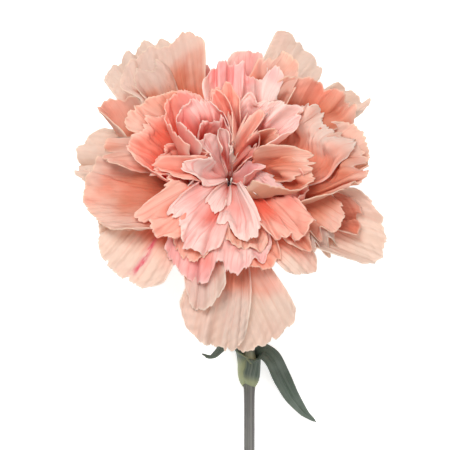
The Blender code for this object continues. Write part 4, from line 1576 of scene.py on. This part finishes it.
@dataclass
class Heart:
    """The receptacle that the petals grow from, the ovary on it, and the two curled styles."""

    space: BloomSpace
    receptacle_radius: float = 4.15
    receptacle_top: float = 7.0
    ovary_middle: float = 13.2
    ovary_radius: float = 1.8
    ovary_half_length: float = 5.6
    style_radius: float = 0.35
    style_length: float = 15.5

    def build_turned(self, node: str, profile: list[tuple[float, float]], furrows: int, look: Look) -> None:
        """Models a round closed piece.

        Args:
            node: The node that it stands for.
            profile: Its radius and height at points from its top to its foot.
            furrows: How many shallow furrows it has.
            look: Its finish.
        """
        made, turn, along = Workbench.rod(f"{node}_body", 48, 44)
        radius, height = through(profile, along * (len(profile) - 1)).T
        radius = np.maximum(radius, 0.02) * (1.0 + 0.02 * np.cos(furrows * turn))
        Workbench.place(made, self.space.round_axis(turn, radius, height))
        Workbench.weld(made)
        Workbench.finish(made, node, "heart", look)

    def style_line(self, azimuth: float, run: Array) -> Array:
        """Follows a style, which bows and then curls at its tip.

        Args:
            azimuth: Its azimuth in degrees.
            run: Where along it, from 0 to 1.

        Returns:
            One row for each place.
        """
        foot = self.ovary_middle + self.ovary_half_length + self.style_radius
        heights = foot + self.style_length * np.sin(run * 0.62 * math.pi)
        radii = 0.55 + 0.25 * rising(run, (0.55, 0.4))
        angles = math.radians(azimuth) + 0.9 * rising(run, (0.5, 0.5))
        return self.space.round_axis(angles, radii, heights)

    def build_style(self, name: str, azimuth: float, look: Look) -> None:
        """Models one style as a thin ringed horn.

        Args:
            name: Its node.
            azimuth: Its azimuth in degrees.
            look: Its finish.
        """
        made, turn, along = Workbench.rod(f"{name}_horn", 14, 60)
        forward = self.style_line(azimuth, along + 0.01) - self.style_line(azimuth, along - 0.01)
        radius = self.style_radius * (1.0 - 0.5 * along**2) * (1.0 + 0.06 * np.sin(70.0 * along))
        Workbench.place(made, round_path(self.style_line(azimuth, along), forward, turn, radius))
        Workbench.weld(made)
        Workbench.finish(made, name, "style", look)

    def build(self, heart: Look, style: Look) -> None:
        """Builds the receptacle, the ovary and the styles.

        Args:
            heart: The finish of the receptacle and the ovary.
            style: The finish of the styles.
        """
        turns = np.radians((0.0, 20.0, 40.0, 60.0, 76.0, 88.0))
        dome = zip(self.receptacle_radius * np.sin(turns), self.receptacle_top * np.cos(turns))
        self.build_turned("receptacle", [*dome, (3.4, -0.9), (1.5, -1.4), (0.0, -1.4)], 10, heart)
        turns = np.linspace(0.0, math.pi, 9)
        heights = self.ovary_middle + self.ovary_half_length * np.cos(turns)
        self.build_turned("ovary", [*zip(self.ovary_radius * np.sin(turns), heights)], 4, heart)
        self.build_style("style_left", 160.0, style)
        self.build_style("style_right", -20.0, style)


# ---- the studio


@dataclass(frozen=True)
class Lamp:
    """A square soft light, with its place and size in metres."""

    name: str
    place: Triple
    size: float
    power: float
    colour: Colour


@dataclass
class Studio:
    """A pale table seen from straight above, lit by large soft lights. Its sizes are in metres."""

    space: BloomSpace
    table_size: float = 6.0
    table_glow: float = 0.55
    sky: float = 0.38
    camera_height: float = 1.15
    view_width: float = 0.1215
    focus_height: float = 0.025
    aim: tuple[float, float] = (-0.00108, 0.00405)  # from the bloom's centre
    lamp_target: Triple = (0.0, 0.03, 0.02)
    lamps: tuple[Lamp, ...] = (
        Lamp("key", (-0.2, 0.45, 0.9), 0.4, 9.3, (1.0, 0.98, 0.97)),
        Lamp("front", (0.35, -0.2, 1.0), 0.8, 4.9, (1.0, 0.97, 0.96)),
    )

    def floor(self) -> None:
        """Lays the pale table."""
        Workbench.single_out()
        bpy.ops.mesh.primitive_plane_add(size=self.table_size)
        made = Workbench.named("table")
        look = Shading("table_top")
        faint = look.noise("Object", (6.0, 6.0, 6.0), 4.0)
        inputs = {
            "Base Color": look.mix(faint, (0.90, 0.90, 0.90), (0.93, 0.93, 0.93)),
            "Roughness": 0.9,
            "Emission Color": (1.0, 1.0, 1.0),
            "Emission Strength": self.table_glow,
        }
        made.data.materials.append(look.finished(look.node("ShaderNodeBsdfPrincipled", inputs)))

    @staticmethod
    def hang(name: str, data: bpy.types.ID, place: Triple) -> Piece:
        """Hangs a light or a camera over the table.

        Args:
            name: Its name.
            data: The light or the camera.
            place: Its place.

        Returns:
            The object.
        """
        made = bpy.data.objects.new(name, data)
        made.location = place
        bpy.context.scene.collection.objects.link(made)
        return made

    def light(self, lamp: Lamp) -> None:
        """Hangs a soft light that looks at the bloom.

        Args:
            lamp: The light.
        """
        data = bpy.data.lights.new(lamp.name, "AREA")
        data.shape = "SQUARE"
        data.size, data.energy, data.color = lamp.size, lamp.power, lamp.colour
        made = self.hang(lamp.name, data, lamp.place)
        towards = Vector(self.lamp_target) - made.location
        made.rotation_euler = towards.to_track_quat("-Z", "Y").to_euler()

    def camera(self) -> None:
        """Hangs the camera over the bloom, looking straight down."""
        data = bpy.data.cameras.new("overhead")
        data.lens = data.sensor_width * (self.camera_height - self.focus_height) / self.view_width
        data.clip_start = 0.05
        x, y = self.space.centre[:2] * MM + self.aim
        bpy.context.scene.camera = self.hang("overhead", data, (x, y, self.camera_height))

    def build(self) -> None:
        """Sets up the table, the camera, the lights and the even light of the room."""
        self.floor()
        self.camera()
        for lamp in self.lamps:
            self.light(lamp)
        world = bpy.data.worlds.new("studio")
        world.use_nodes = True
        sky = world.node_tree.nodes["Background"].inputs
        sky["Color"].default_value = (1.0, 1.0, 1.0, 1.0)
        sky["Strength"].default_value = self.sky
        bpy.context.scene.world = world
        bpy.context.scene.view_settings.view_transform = "Standard"


def main() -> None:
    """Builds every sub-assembly round the frame."""
    space = BloomSpace.from_frame(Heart.ovary_middle)
    Studio(space).build()
    Stem(space).build(STEM_FINISH.material())
    LeafPair(space).build(LEAF_FINISH.material())
    Calyx(space).build(CALYX_FINISH.material())
    Heart(space).build(HEART_FINISH.material(), STYLE_FINISH.material())
    Bloom(space).build({finish.tint: finish.material() for finish in PETAL_FINISHES})


if __name__ == "__main__":
    logging.basicConfig(level=logging.INFO, format="%(name)s: %(message)s")
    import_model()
    main()
